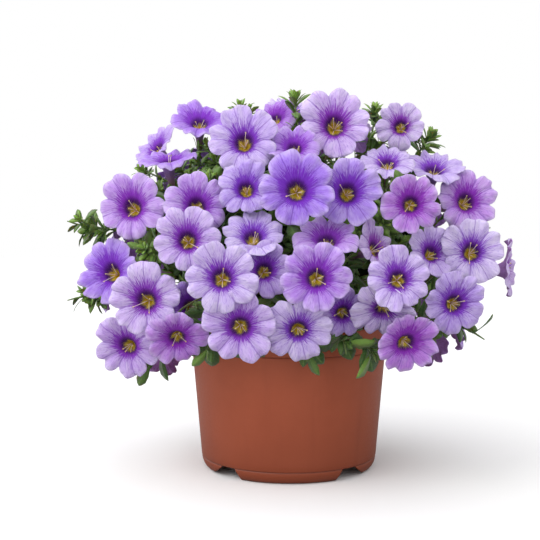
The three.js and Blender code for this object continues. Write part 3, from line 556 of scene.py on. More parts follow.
def grow_branch(stems, used, end, out):
    """The branch to a target: stem, distance along it, and line. The places where it can leave a stem are
    tried from the most natural one on, to the first whose line the solid follows outside the core."""
    neck = end - out * CALYX_LENGTH
    starts = []
    for index, stem in enumerate(stems):
        total, crowd = marks_of(stem)[-1], CROWD_COST * len(used[index])
        for share in BRANCH_FROM:
            start = walk(stem, share * total)[0]
            reach = np.linalg.norm(end - start)
            turn = 1 - np.dot(end - start, out) / reach
            cost = reach + TURN_COST * turn + SHORT_COST * max(0, SHORT_BRANCH - reach) + crowd
            starts.append((cost, index, share * total, start))
    best = None
    for _, index, distance, start in sorted(starts, key=lambda s: s[:3]):
        if any(abs(other - distance) < BUD_APART for other in used[index]):
            continue
        length = np.linalg.norm(neck - start)
        shares = np.arange(1.5, max(length - 3, 2), 1.5) / length
        points = neck + shares[:, None] * (start - neck)
        allowed = NECK_RADIUS + BRANCH_SWELL * shares
        miss = [off_solid(p) - most for p, most in zip(points, allowed) if not in_core(p)]
        miss = max(miss or [0.0])
        if best is None or miss < best[0]:
            best = (miss, (index, distance, np.array([start, neck, end])))
        if miss <= 0:
            break
    return best[1]


def solid_leaves(line, start, stop, spacing, length, buds, draw):
    """The leaves that the solid has on a line: root, axis, face and length of each."""
    marks = marks_of(line)
    span = marks[-1] - stop - start
    count = max(1, math.floor(span / spacing + 0.5))
    found = []
    for i in range(count):
        distance = marks[-1] - stop - i * span / count
        if min(abs(mark - distance) for mark in [*marks, *buds]) < BUD_APART:
            continue
        root, direction = walk(line, distance)
        size = length * (0.85 + 0.3 * next(draw))
        turn = i * GOLDEN_TURN + 2 * math.pi * next(draw)
        for swing, opening, scale in LEAF_TRIES:
            side = side_of(direction, turn + swing * RAD, [0.0, 0.0, -1.0])
            axis, face = opened(direction, side, opening * RAD)
            if near_corner(root + (axis - LEAF_TIP * face) * size * scale) < 0.02:
                found.append((root, axis, face, size * scale))
                buds.append(distance)
                break
    return found


flowers = flower_nodes()
stems = [grow_stem(row[2] + i * 360 / row[0], row[1], *row[3:]) for row in STEM_RINGS for i in range(row[0])]

targets = []  # the end of each branch: its place, the direction that it faces, and its flower's diameter or 0
for name, members in flowers:
    for f, diameter, number in members:
        targets.append((f[0] - f[3] * (TUBE_LENGTH * diameter / 2 + TOUCH), f[3], diameter))
for x, y, z, bearing, nod in SHOOT_TIPS:
    targets.append((np.array([x, y, z], float), facing(bearing, nod), 0))
for count, height, radius, first, last, nod in BACK_SHOOTS:
    for i in range(count):
        bearing = first + (last - first) * i / (count - 1)
        targets.append((polar(radius, bearing, height), facing(bearing, nod), 0))

branches = [[] for _ in stems]
used = [[] for _ in stems]
for end, out, diameter in targets:
    index, distance, line = grow_branch(stems, used, end, out)
    used[index].append(distance)
    branches[index].append((line, diameter))

draw = seeded(5)
leaves = []
for stem, own, leaving in zip(stems, branches, used):
    for line, _ in own:
        leaves += solid_leaves(line, **BRANCH_LEAVES, buds=[], draw=draw)
    leaves += solid_leaves(stem, **STEM_LEAVES, buds=leaving, draw=draw)

# ---- Colours and shader graphs ----


def colour(red, green, blue):
    """A colour of 0 to 255 as the light that it sends back: each channel by the screen's curve."""
    back = [c / 255 / 12.92 if c <= 10 else ((c / 255 + 0.055) / 1.055) ** 2.4 for c in (red, green, blue)]
    return (*back, 1.0)


class Graph:
    """Adds nodes to a tree. A call takes values or other nodes' outputs, and gives the new node's output."""

    def __init__(self, tree):
        self.tree = tree

    def plug(self, socket, value):
        """Links an output to a socket, or sets a value on it; None leaves it as it is."""
        if isinstance(value, bpy.types.NodeSocket):
            self.tree.links.new(value, socket)
        elif value is not None:
            socket.default_value = value

    def node(self, kind, output=0, inputs=(), **settings):
        """A node of a kind, with its inputs by name or number and its settings."""
        made = self.tree.nodes.new("ShaderNode" + kind)
        for key, value in settings.items():
            setattr(made, key, value)
        for key, value in dict(inputs).items():
            self.plug(made.inputs[key], value)
        return made.outputs[output]

    def math(self, operation, *values):
        """One operation on values."""
        return self.node("Math", inputs=enumerate(values), operation=operation)

    def times(self, a, b, plus=None):
        """A product, with something added to it if it is given."""
        return self.math("MULTIPLY", a, b) if plus is None else self.math("MULTIPLY_ADD", a, b, plus)

    def vector(self, operation, a, b=None, scale=None):
        """One operation on vectors."""
        output = "Value" if operation in ("LENGTH", "DOT_PRODUCT") else "Vector"
        return self.node("VectorMath", output, {0: a, 1: b, 3: scale}, operation=operation)

    def step(self, value, low, high, to_low=0.0, to_high=1.0):
        """A smooth step from to_low to to_high, while the value goes from low to high."""
        inputs = enumerate((value, low, high, to_low, to_high))
        return self.node("MapRange", inputs=inputs, interpolation_type="SMOOTHSTEP")

    def mix(self, share, a, b):
        """From one to another by a share. A colour may be its red, green and blue from 0 to 255."""
        a, b = (colour(*c) if isinstance(c, tuple) and len(c) == 3 else c for c in (a, b))
        return self.node("Mix", 2, {0: share, 6: a, 7: b}, data_type="RGBA")

    def layers(self, base, *coats):
        """Colours that are laid over a base one by one, each with the mask that says where."""
        for mask, coat in coats:
            base = self.mix(mask, base, coat)
        return base

    def noise(self, place, scale, detail=2.0, rough=0.5):
        """A cloud from 0 to 1, finer with a larger scale."""
        inputs = {"Vector": place, "Scale": scale, "Detail": detail, "Roughness": rough}
        return self.node("TexNoise", inputs=inputs)

    def split(self, value):
        """A vector's three values."""
        return self.node("SeparateXYZ", slice(None), {0: value})

    def parts(self, name):
        """The three values of an attribute, and the attribute as a vector."""
        value = self.node("Attribute", "Vector", attribute_name=name)
        return (*self.split(value), value)

    def join(self, x, y, z):
        """The vector of three values."""
        return self.node("CombineXYZ", inputs=enumerate((x, y, z)))

    def place(self):
        """A point's own place in its piece, in metres."""
        return self.node("TexCoord", "Object")

    def mottle(self, place):
        """The shared cloud and speck of a place."""
        made = self.tree.nodes.new("ShaderNodeGroup")
        made.node_tree = MOTTLE
        self.plug(made.inputs[0], place)
        return made.outputs[0], made.outputs[1]


class Surface(Graph):
    """The graph of a new material, with constants set on its Principled shader's own sockets."""

    def __init__(self, name, **constants):
        self.material = bpy.data.materials.new(name)
        self.material.use_nodes = True
        super().__init__(self.material.node_tree)
        self.shader = self.tree.nodes["Principled BSDF"].inputs
        for key, value in constants.items():
            self.shader[key.replace("_", " ")].default_value = value

    def finish(self, base, height=None, strength=0.0, distance=0.0, rough=None):
        """Plugs the colour, the roughness where it varies, and the bump of a height; gives the material."""
        self.plug(self.shader["Base Color"], base)
        self.plug(self.shader["Roughness"], rough)
        if height is not None:
            bump = {"Strength": strength, "Distance": distance, "Height": height}
            self.plug(self.shader["Normal"], self.node("Bump", inputs=bump))
        return self.material


def mottle_group():
    """Speckle of two scales: a cloud that wanders slowly, and a speck of small spots, each from 0 to 1."""
    group = bpy.data.node_groups.new("mottle", "ShaderNodeTree")
    sockets = {"Place": ("INPUT", "Vector"), "Cloud": ("OUTPUT", "Float"), "Speck": ("OUTPUT", "Float")}
    for name, (way, kind) in sockets.items():
        group.interface.new_socket(name, in_out=way, socket_type="NodeSocket" + kind)
    g = Graph(group)
    out = group.nodes.new("NodeGroupOutput")
    place = group.nodes.new("NodeGroupInput").outputs[0]
    g.plug(out.inputs[0], g.noise(place, 28.0, 4.0, 0.6))
    g.plug(out.inputs[1], g.noise(place, 900.0, 2.0, 0.6))
    return group


MOTTLE = mottle_group()


def petal_material():
    """Lilac petals with dark veins that run out from the throat, a violet star round it and a golden eye."""
    g = Surface(
        "petal_satin", Roughness=0.55, Specular_IOR_Level=0.18, Sheen_Weight=0.06, Sheen_Roughness=0.4,
        Sheen_Tint=colour(225, 205, 255), Subsurface_Weight=0.1, Subsurface_Scale=0.003,
        Subsurface_Radius=(1.0, 0.6, 1.0),
    )
    x, y, middle, spot = g.parts("spot")
    tone, pale, behind, _ = g.parts("mood")
    height, share, own, _ = g.parts("depth")
    high = g.parts("high")[0]
    flat = g.join(x, y, 0.0)
    radius = g.vector("LENGTH", flat)
    round_it = g.vector("SCALE", g.vector("NORMALIZE", flat), scale=7.0)
    fan = g.vector("ADD", round_it, g.join(own, own, g.times(radius, 1.3)))
    feather = g.noise(fan, 1.7, 3.0, 0.65)
    fine = g.noise(fan, 5.0, 2.5, 0.6)
    cloud = g.noise(g.vector("ADD", spot, g.join(own, 0.0, own)), 2.2, 3.0, 0.5)
    crumple = g.noise(g.vector("ADD", spot, g.join(own, own, 0.0)), 8.0, 4.0, 0.65)

    pink = g.step(tone, -1.0, 1.0)
    lilac = g.mix(pink, (164, 130, 238), (199, 136, 232))
    violet = g.mix(pink, (120, 48, 202), (148, 48, 190))
    white = (228, 212, 252)
    vein = g.times(g.step(fine, 0.5, 0.66), g.step(radius, 0.3, 1.0, 0.5, 0.16))
    thread = g.math("ABSOLUTE", g.math("SUBTRACT", g.noise(fan, 1.5, 1.0, 0.5), 0.5))
    thread = g.times(g.step(thread, 0.0, 0.038, 1.0, 0.0), g.step(radius, 0.3, 1.0, 0.5, 0.24))
    # Painted shade: a darker violet along each petal's middle crease and in the clefts between the petals.
    crease = g.times(g.step(middle, 0.0, 0.05, 1.0, 0.0), g.step(radius, 0.4, 1.0, 0.85, 0.5))
    cleft = g.times(g.step(middle, 0.9, 1.0), g.step(radius, 0.4, 0.85, 0.7, 0.45))
    reach = g.math("ADD", g.times(high, -0.13, radius), g.times(fine, -0.62, g.times(feather, -0.42, 0.52)))
    reach = g.math("ADD", reach, g.times(pale, 0.08, -0.04))
    ring = g.times(fine, -0.16, g.times(high, -0.12, radius))
    eye = g.times(g.step(middle, 0.1, 0.9), -0.03, g.times(fine, -0.4, radius))
    gold = g.mix(g.step(height, -0.3, -0.06), (226, 192, 30), (250, 228, 70))
    gold = g.mix(g.step(fine, 0.5, 0.6, 0.0, 0.6), gold, (112, 70, 30))
    front = g.layers(
        # Partly the petals' own paler areas and partly painted sheen: the lilac turns white in cloudy
        # patches, more on a paler flower.
        g.mix(g.times(pale, 0.9, g.step(cloud, 0.3, 0.7, -0.18, 0.16)), lilac, white),
        (g.step(share, 0.8, 1.0, 0.0, 0.45), white),
        (vein, (140, 90, 205)),
        (thread, (122, 74, 202)),
        # Painted shade in the creases and clefts.
        (g.math("MAXIMUM", crease, cleft), (122, 66, 186)),
        (g.step(reach, 0.4, 0.7, 0.38, 0.0), violet),
        (g.step(reach, 0.38, 0.53, 0.95, 0.0), violet),
        (g.step(ring, 0.12, 0.27, 0.94, 0.0), (66, 14, 98)),
        (g.step(eye, -0.055, -0.03, 1.0, 0.0), gold),
    )
    back = g.mix(g.step(height, -0.8, -0.05), (146, 112, 112), g.mix(0.4, lilac, (190, 160, 206)))
    back = g.mix(g.times(g.step(fine, 0.48, 0.62), 0.4), back, (126, 84, 150))
    lines = g.math("ADD", g.times(fine, 0.7), g.times(crumple, 1.1))
    both = g.mix(g.step(behind, 0.4, 0.6), front, back)
    return g.finish(both, lines, 0.7, 0.0018, g.step(fine, 0.3, 0.7, 0.5, 0.66))


def stamen_material():
    """Pale stalks, yellow anthers and a greenish style: the attribute tells the style and the tip."""
    g = Surface("stamen_pollen", Roughness=0.6, Subsurface_Weight=0.1, Subsurface_Scale=0.002)
    style, tip, _, _ = g.parts("spot")
    grain = g.noise(g.place(), 1500.0, 2.0)
    stalk = g.mix(grain, (234, 202, 192), (250, 230, 218))
    pollen = g.mix(g.step(grain, 0.35, 0.65), (228, 190, 80), (248, 228, 150))
    green = g.mix(grain, (150, 160, 70), (190, 190, 100))
    return g.finish(g.mix(g.step(tip, 0.6, 0.9), stalk, g.mix(style, pollen, green)), grain, 0.5, 0.0003)


def leaf_material():
    """A leaf's green: deeper or fresher by leaf, with a paler midrib, side veins and a slight gloss."""
    g = Surface(
        "leaf_green", Roughness=0.45, Subsurface_Weight=0.06, Subsurface_Scale=0.003, Sheen_Weight=0.15,
        Specular_IOR_Level=0.4,
    )
    along, across, tint, _ = g.parts("blade")
    cloud, speck = g.mottle(g.place())
    deep = g.mix(cloud, (42, 72, 30), (68, 108, 42))
    fresh = g.mix(cloud, (100, 144, 46), (156, 194, 80))
    wide = g.math("ABSOLUTE", across)
    veins = g.math("SINE", g.times(wide, -5.0, g.times(along, 46.0)))
    base = g.layers(
        g.mix(g.step(tint, 0.0, 1.0), deep, fresh),
        (g.step(veins, 0.5, 1.0, 0.0, 0.1), (120, 154, 80)),
        (g.step(wide, 0.0, 0.16, 0.34, 0.0), (124, 156, 84)),
        (g.step(wide, 0.8, 1.0, 0.0, 0.22), (110, 150, 70)),
    )
    height = g.math("ADD", g.times(g.step(wide, 0.0, 0.3), 0.5), g.times(veins, 0.12))
    return g.finish(base, g.times(speck, 0.3, height), 0.4, 0.0005, g.step(speck, 0.3, 0.7, 0.38, 0.55))


def stem_material():
    """Soft green stems: redder where the attribute says that they carry a flower, and finely hairy."""
    g = Surface("stem_green", Roughness=0.6, Sheen_Weight=0.4, Sheen_Roughness=0.5)
    red = g.parts("blade")[0]
    cloud, speck = g.mottle(g.place())
    base = g.layers(
        g.mix(cloud, (74, 104, 42), (108, 138, 62)),
        (g.times(red, 0.55), (112, 76, 52)),
        (g.times(g.step(speck, 0.55, 0.8), 0.35), (170, 180, 120)),
    )
    return g.finish(base, speck, 0.4, 0.0003)


def depth_material():
    """The dark inside of the bush: dead and shaded leaves as a mottle of greens and browns."""
    g = Surface("bush_depth", Roughness=0.85, Specular_IOR_Level=0.15)
    place = g.place()
    cells = g.node("TexVoronoi", "Distance", {"Vector": place, "Scale": 130.0})
    cloud, _ = g.mottle(place)
    base = g.mix(cells, (46, 66, 32), (20, 28, 16))
    base = g.mix(g.step(cloud, 0.45, 0.7, 0.0, 0.5), base, (58, 52, 34))
    return g.finish(base, g.times(cells, -1.0), 1.0, 0.004)


def pot_material():
    """Moulded terracotta-coloured plastic: a satin skin with a fine grain, faint flow marks, painted shadow
    in lines where the collar and the foot begin, painted shade that deepens towards the ground, and some dust
    at the foot."""
    g = Surface("terracotta_plastic", Roughness=0.42, Specular_IOR_Level=0.4)
    place = g.place()
    cloud, speck = g.mottle(place)
    flow = g.noise(g.vector("MULTIPLY", place, (1.0, 1.0, 0.06)), 90.0, 3.0, 0.55)
    level = g.times(g.split(place)[2], 1000.0)
    from_seam = [g.math("ABSOLUTE", g.math("SUBTRACT", level, z)) for z in (FOOT_HEIGHT, COLLAR_HEIGHT - 0.2)]
    # Painted shadow: dark lines at the foot's and the collar's steps, where the shade under each step would
    # fall.
    seam_shadows = g.math("MAXIMUM", *[g.step(gap, 0.1, 0.75, 0.7, 0.0) for gap in from_seam])
    base = g.layers(
        g.mix(g.step(cloud, 0.3, 0.7), (161, 75, 44), (171, 82, 51)),
        (g.step(flow, 0.5, 0.75, 0.0, 0.3), (138, 62, 38)),
        (g.step(speck, 0.6, 0.85, 0.0, 0.08), (198, 132, 106)),
        # Painted shade: the plastic darkens towards the ground.
        (g.step(level, -10.0, 75.0, 0.7, 0.0), (116, 52, 28)),
        (g.times(seam_shadows, 0.6), (84, 40, 28)),
        (g.times(g.step(level, 0.0, 9.0, 1.0, 0.0), g.step(cloud, 0.35, 0.65, 0.05, 0.3)), (106, 58, 42)),
    )
    height = g.math("ADD", g.times(speck, 0.6), g.times(flow, 0.8))
    return g.finish(base, height, 0.12, 0.0004, g.times(cloud, 0.12, g.step(speck, 0.2, 0.8, 0.36, 0.48)))


def soil_material():
    """Peat: nearly black crumbs with brown fibres, and white grains where the attribute marks them."""
    g = Surface("peat_soil", Roughness=0.95, Specular_IOR_Level=0.2)
    place = g.place()
    cloud, speck = g.mottle(place)
    fibre = g.noise(g.vector("MULTIPLY", place, (1.0, 4.0, 1.0)), 350.0, 4.0, 0.7)
    base = g.layers(
        g.mix(fibre, (26, 18, 14), (78, 56, 42)),
        (g.step(cloud, 0.5, 0.75, 0.0, 0.5), (52, 40, 32)),
        (g.parts("grain")[0], g.mix(speck, (196, 190, 178), (232, 228, 218))),
    )
    return g.finish(base, g.math("ADD", fibre, speck), 0.9, 0.0012)


PETAL, STAMEN, LEAF, STEM = petal_material(), stamen_material(), leaf_material(), stem_material()
DEPTH, PLASTIC, PEAT = depth_material(), pot_material(), soil_material()

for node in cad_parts.values():
    node.data.materials.clear()
    node.data.materials.append({"pot": PLASTIC, "soil": PEAT, "leafy_stems": LEAF}.get(node.name, PETAL))

# ---- The flowers' pieces ----

rng = np.random.default_rng(20)
petal_points, petal_quads = [], []
for name, members in flowers:
    parts = []
    for f, diameter, number in members:
        tone = BLUE_PINK.get(number, rng.uniform(-0.5, 0.5))
        pale = PALE.get(number, rng.uniform(0.3, 0.95))
        trumpet = bloom(f, diameter, tone, pale, rng)
        petal_quads.append(trumpet["faces"][0] + sum(map(len, petal_points)))
        petal_points.append(trumpet["points"])
        parts += [trumpet, *strands(f, diameter, rng)]
    piece = make_piece("bloom_" + name, parts, [PETAL, STAMEN])
    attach(piece, "root")
    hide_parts(name)
petals = BVHTree.FromPolygons(np.concatenate(petal_points).tolist(), np.concatenate(petal_quads).tolist())

# ---- The growth's pieces ----

BESIDE = [0.31, 0.22, 0.92]  # a direction that no branch follows
# A shoot's leaves over the pot's rim, looking up, and to a side: shortest, longest, how many, how wide.
RIM_SHOOT, UP_SHOOT, SIDE_SHOOT = (8, 18, 8, 1.5), (6, 17, 17, 1.05), (6, 15, 17, 1.15)
CORE_SHOOTS = 232
growth = []  # the rods of stems, branches and twigs
blades = []  # root, axis, face, length, width, bend, tint of each leaf


def near_petal(point, distance):
    """Whether a petal is within a distance of a point."""
    return petals.find_nearest(Vector(point), distance)[0] is not None


def add_rod(points, radii, sides, red):
    """Adds a rod to the growth, with how red it is."""
    growth.append(rod(points, radii, sides, all_over("blade", red)))


def add_leaves(root, axis, face, length, slim, bend, tint, clear=True):
    """Adds leaves, but for those that would reach a petal: along the leaf, or near its tip."""
    many = zip(root, axis, face, *np.broadcast_arrays(length, slim, bend, tint))
    for root, axis, face, size, slim, bend, tint in many:
        tip = root + (axis - face * (LEAF_TIP + bend)) * size
        start = Vector(root + face * 0.5)
        reaches = clear and petals.ray_cast(start, Vector(axis), size * 1.06)[0] is not None
        if not reaches and not (clear and near_petal(tip, 1.2)):
            blades.append((root, axis, face, size, slim, bend, tint))


def line_leaves(line, start, stop, step, low, high, tint):
    """Small leaves along a line, a step apart, each turned on by the golden angle."""
    turn = rng.uniform(0, 6.3)
    for distance in np.arange(start, marks_of(line)[-1] - stop, step):
        turn += GOLDEN_TURN
        place, direction = walk(line, distance + rng.uniform(-1, 1))
        axis, face = opened(direction, side_of(direction, turn, BESIDE), rng.uniform(45, 80) * RAD)
        size, slim, bend = rng.uniform(low, high), rng.uniform(0.85, 1.15), rng.uniform(-0.05, 0.18)
        add_leaves([place], [axis], [face], [size], slim, bend, rng.uniform(*tint))


def shoot_leaves(line, end, out):
    """A shoot without a flower: a rosette at its tip, and side shoots with smaller rosettes on its last
    stretch. One that hangs over the pot's rim has larger, darker leaves."""
    rim, upright = end[2] < RIM_SHOOT_HEIGHT, out[2] > UPRIGHT
    low, high, count, slim = RIM_SHOOT if rim else UP_SHOOT if upright else SIDE_SHOOT
    toward = out
    if rim:
        toward = unit(out + unit(end * [1, 1, 0]) * 1.3)
    elif not upright:
        toward = unit(out + np.array([0.0, 0.9 if end[1] > 12 else -0.9, 0.35]))

    def tint(n):
        """From the youngest leaf to the oldest: dark over the rim, and elsewhere fresh with some chance."""
        return np.linspace(0.25, 0.0, n) if rim else np.linspace(0.95, 0.25, n) + rng.uniform(-0.1, 0.1, n)

    centre = end - out * (3 if upright else 14 if abs(end[0]) > 100 else 9)
    rosette = whorl(rng, centre, toward, count, low, high, open_from=10, open_to=80, run=9)
    add_leaves(*rosette, slim * rng.uniform(0.9, 1.15), rng.uniform(0.0, 0.22, count), tint(count))
    total = marks_of(line)[-1]
    turn = rng.uniform(0, 6.3)
    for distance in np.arange(total - 14, max(total - (14 if rim else 34), 8), -6):
        turn += GOLDEN_TURN
        place, direction = walk(line, distance)
        aside = side_of(direction, turn, BESIDE) * rng.uniform(0.8, 1.6)
        way = unit(direction + aside + toward * 0.5)
        tip = place + way * rng.uniform(4, 8)
        if near_petal(tip, 3.0):
            continue
        add_rod([place, (place + tip) / 2, tip], [0.6, 0.5, 0.35], sides=5, red=0.1)
        rosette = whorl(rng, tip, way, 8, low * 0.8, high * 0.78, open_from=12, open_to=78, run=3.5)
        add_leaves(*rosette, slim * rng.uniform(0.9, 1.1), rng.uniform(-0.02, 0.2, 8), tint(8))


def calyx(end, out):
    """Five narrow lobes under a flower, each a fifth of a turn on, opened a little and bent outwards."""
    side = side_of(out, np.arange(5) * 72 * RAD + rng.uniform(0, 1.2), [0.3, 0.2, 0.93])
    axis, face = opened(out, side, rng.uniform(10, 34, 5) * RAD)
    length = rng.uniform(7.5, 10.5, 5)
    root = end - out * 1.5 + side * 1.7
    add_leaves(root, axis, face, length, 0.62, -0.12, rng.uniform(0.3, 0.7), clear=False)


for stem in stems:
    t = np.linspace(0, 1, 15)
    marks = marks_of(stem)
    points = np.stack([np.interp(t * marks[-1], marks, stem[:, k]) for k in range(3)], -1)
    add_rod(points, STEM_RADIUS + (STEM_TIP_RADIUS - STEM_RADIUS) * t, sides=8, red=0.0)
for own in branches:
    for (start, neck, end), diameter in own:
        if diameter:  # the branch's end swells into the calyx
            shares, radii, red = (0.3, 0.6, 0.85, 1.0), (0.85, 0.62, 0.8, 1.35, 1.9, 2.1), 0.8
        else:  # it tapers to the shoot's tip
            shares, radii, red = (0.5, 1.0), (0.8, 0.6, 0.5, 0.35), 0.2
        sag = 0.03 * np.linalg.norm(neck - start)
        control = [start, start + (neck - start) * 0.35 + [0, 0, sag], neck - (end - neck) * 0.8, neck]
        points = [bezier(control, t) for t in np.linspace(0, 1, 8)]
        points += [neck + (end - neck) * share for share in shares]
        add_rod(points, [*np.linspace(*radii[:2], 8), *radii[2:]], sides=6, red=red)

tips = np.array([row[:3] for row in SHOOT_TIPS if row[2] > RIM_SHOOT_HEIGHT])
for root, axis, face, length in leaves:
    young = np.linalg.norm(root + axis * length / 2 - tips, axis=1).min() < 20
    length = [length * (0.6 if young else 1)]
    add_leaves([root], [axis], [face], length, 1.05, 0.0, rng.uniform(0.1, 0.6), clear=False)

for stem, own in zip(stems, branches):
    line_leaves(stem, start=24, stop=4, step=3.2, low=11, high=18, tint=(0.0, 0.5))
    for line, diameter in own:
        neck, end = line[1:]
        out = unit(end - neck)
        bare = 34 if end[2] < RIM_SHOOT_HEIGHT and not diameter else 10
        line_leaves(line, start=6, stop=bare, step=3.4, low=9, high=15, tint=(0.1, 0.7))
        if diameter:
            calyx(end, out)
        else:
            shoot_leaves(line, end, out)

# Shoots all over the core, each a whorl of leaves that stands out from it; none at the pot's rim.
rise = 1 - 2 * (np.arange(CORE_SHOOTS) + 0.5) / CORE_SHOOTS
for spot in around(np.sqrt(1 - rise**2), np.arange(CORE_SHOOTS) * GOLDEN_TURN, rise):
    out = unit(spot / CORE_REACH + [0, 0, 0.002] + rng.normal(0, 0.002, 3))
    centre = CORE_CENTRE + spot * CORE_REACH * rng.uniform(0.98, 1.1)
    if centre[2] < 92 and np.hypot(centre[0], centre[1]) < 66:
        continue
    leafy = whorl(rng, centre, out, count=9, low=8, high=17, open_from=25, open_to=82)
    add_leaves(*leafy, 1.0, rng.uniform(-0.05, 0.15, 9), rng.uniform(0.0, 0.75) + 0.2 * rng.random(9))

# Tufts between the upper flowers, each on a thin stem of its own out of the core.
for tip in np.array(TUFTS, float):
    way = (tip - CORE_CENTRE) / CORE_REACH
    start = CORE_CENTRE + (tip - CORE_CENTRE) / np.linalg.norm(way) * 0.9
    line = start + (tip - start) * np.linspace(0, 1, 6)[:, None]
    add_rod(line, np.linspace(0.8, 0.5, 6), sides=6, red=0.1)
    line_leaves(line, start=2, stop=4, step=3.0, low=8, high=13, tint=(0.2, 0.8))
    toward = unit(way + [0, -0.5, 0.2])
    leafy = whorl(rng, tip, toward, count=15, low=5, high=14, open_from=10, open_to=85, run=7)
    add_leaves(*leafy, 1.1, rng.uniform(-0.02, 0.2, 15), np.linspace(0.95, 0.3, 15))

# The inner piece is the core's ball with a swell: two waves round and down it, and a little at random.
v, h, ball = ball_grid(26, 48)
swell = 0.93 + 0.05 * np.sin(5 * h + 3 * np.cos(v)) * np.sin(4 * v) + rng.uniform(-0.03, 0.03, (26, 48))
inner = shell(ball * swell[..., None], [0, 0, -0.93], [0, 0, 0.93])
inner["points"] = inner["points"] * CORE_REACH + CORE_CENTRE
for piece in (
    make_piece("growth_stems", growth, [STEM]),
    make_piece("growth_leaves", [leaf_parts(*zip(*blades))], [LEAF]),
    make_piece("growth_depth", [inner], [DEPTH]),
):
    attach(piece, "root")
    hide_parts("leafy_stems")

# ---- The pot ----


def side_radius(z):
    """The straight side's radius at a height."""
    slope = (BODY_TOP_RADIUS - BODY_FOOT_RADIUS) / (COLLAR_HEIGHT - BODY_FOOT_HEIGHT)
    return BODY_FOOT_RADIUS + (z - BODY_FOOT_HEIGHT) * slope


def turned_pot():
    """The pot's profile carried round its axis: from under the floor round the foot, up the side, over the
    rim and down inside. Each stretch is steps from a radius, or from the side's radius at their heights."""
    collar, under, floor, top = BODY_TOP_RADIUS + COLLAR_STEP, FOOT_HEIGHT, FOOT_HEIGHT + WALL, POT_HEIGHT
    stretch = lambda radius, *steps: [(radius + step, z) for step, z in steps]
    side_stretch = lambda shift, *steps: [(side_radius(z) + shift + step, z) for step, z in steps]
    profile = [
        (20, under),
        *stretch(
            FOOT_RADIUS, (-14, under), (-1.4, under), (-0.8, under - 0.4), (-1.4, 3.4), (-2.1, 0.3),
            (-1.8, 0.0), (-0.2, 0.0), (0.9, 0.25), (2.1, 0.9),
        ),
        *stretch(
            side_radius(under), (-1.7, 1.9), (-1.0, 3.1), (-0.5, 4.6), (-0.2, 6.0), (-0.25, 6.5),
            (-0.55, 6.8), (-0.6, 7.1), (-0.2, 7.35),
        ),
        *side_stretch(
            0, (0, 7.9), (0, 12), (0, 30), (0, 50), (0, 66), (0, 72.6), (-0.05, 73.8), (-0.3, 74.2),
        ),
        *stretch(side_radius(74.6), (-0.25, 74.5)),
        *stretch(
            collar, (-0.35, 74.7), (-0.05, 75.0), (0, 75.6), (0.15, 80), (0.3, 85), (0.55, top - 1.3),
            (0.62, top - 0.75), (0.5, top - 0.25), (0.1, top),
        ),
        *stretch(collar - WALL, (1.3, top), (0.8, top - 0.3), (0.6, top - 0.9), (0.2, 82)),
        *stretch(side_radius(COLLAR_HEIGHT) - WALL, (0.1, 75.5), (0, COLLAR_HEIGHT - 1)),
        *side_stretch(-WALL, (0, 40), (0, 12)),
        *stretch(side_radius(floor) - WALL, (-1.2, floor + 1.4), (-3, floor)),
        (20, floor),
    ]
    a = np.arange(0, 360, 1.5) * RAD
    rows = [np.stack([r * np.sin(a), -r * np.cos(a), np.full(len(a), z)], -1) for r, z in profile]
    return shell(rows, [0, 0, under], [0, 0, floor])


def slot_cutter(way):
    """What is cut out of the foot ring on a side: a prism from front to back, widest at the ground."""
    wall = lambda k, z: way * (SLOT_GROUND[k] + (SLOT_TOP[k] - SLOT_GROUND[k]) * z / FOOT_HEIGHT)
    low, high = -1.0, FOOT_HEIGHT - 0.02
    section = [(wall(k, z), z) for k, z in ((0, low), (1, low), (1, high), (0, high))][::way]
    points = np.array([(x, y, z) for y in (-80.0, 80.0) for x, z in section])
    faces = [(0, 1, 2, 3), (7, 6, 5, 4), (0, 4, 5, 1), (1, 5, 6, 2), (2, 6, 7, 3), (3, 7, 4, 0)]
    return {"points": points, "faces": [np.array(faces)], "values": {}}


pot_piece = make_piece("pot_moulding", [turned_pot()], [PLASTIC], crease=38)
drains = [[polar(FOOT_RADIUS - 9, bearing, z) for z in (6.5, 9.0, 12.0)] for bearing in DRAIN_BEARINGS]
cutters = [rod(line, [DRAIN_RADIUS] * 3, 32) for line in drains]
cutter = make_piece("drain_cutter", [*cutters, slot_cutter(-1), slot_cutter(1)], [PLASTIC])
bore = pot_piece.modifiers.new("drains", "BOOLEAN")
bore.operation, bore.object, bore.solver = "DIFFERENCE", cutter, "EXACT"
done = bpy.data.meshes.new_from_object(pot_piece.evaluated_get(bpy.context.evaluated_depsgraph_get()))
pot_piece.modifiers.clear()
pot_piece.data = done
bpy.data.objects.remove(cutter)
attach(pot_piece, "root")
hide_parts("pot")

# ---- The soil ----

SOIL_GAP, SOIL_COLUMNS, SOIL_ROWS = 0.45, 150, 44


def soil_height(x, y):
    """The soil's top: highest in the middle, with lumps that are sums of sines of both directions."""
    lumps = 0.9 * np.sin(x * 0.31 + 1) * np.sin(y * 0.27 + 2) + 0.6 * np.sin(x * 0.71 - y * 0.53)
    small = 0.35 * np.sin(x * 1.7 + 2 * np.sin(y * 0.9)) * np.sin(y * 1.9 + 1)
    small = small + 0.2 * np.sin(x * 3.1 + y * 2.3)
    r = np.hypot(x, y)
    crown = np.interp(r, [0, 24, 41, 57.4], [SOIL_TOP + 2, SOIL_TOP + 1.4, SOIL_TOP, SOIL_TOP - 1])
    return crown + (lumps + small) * np.clip((57.6 - r) / 4, 0, 1)


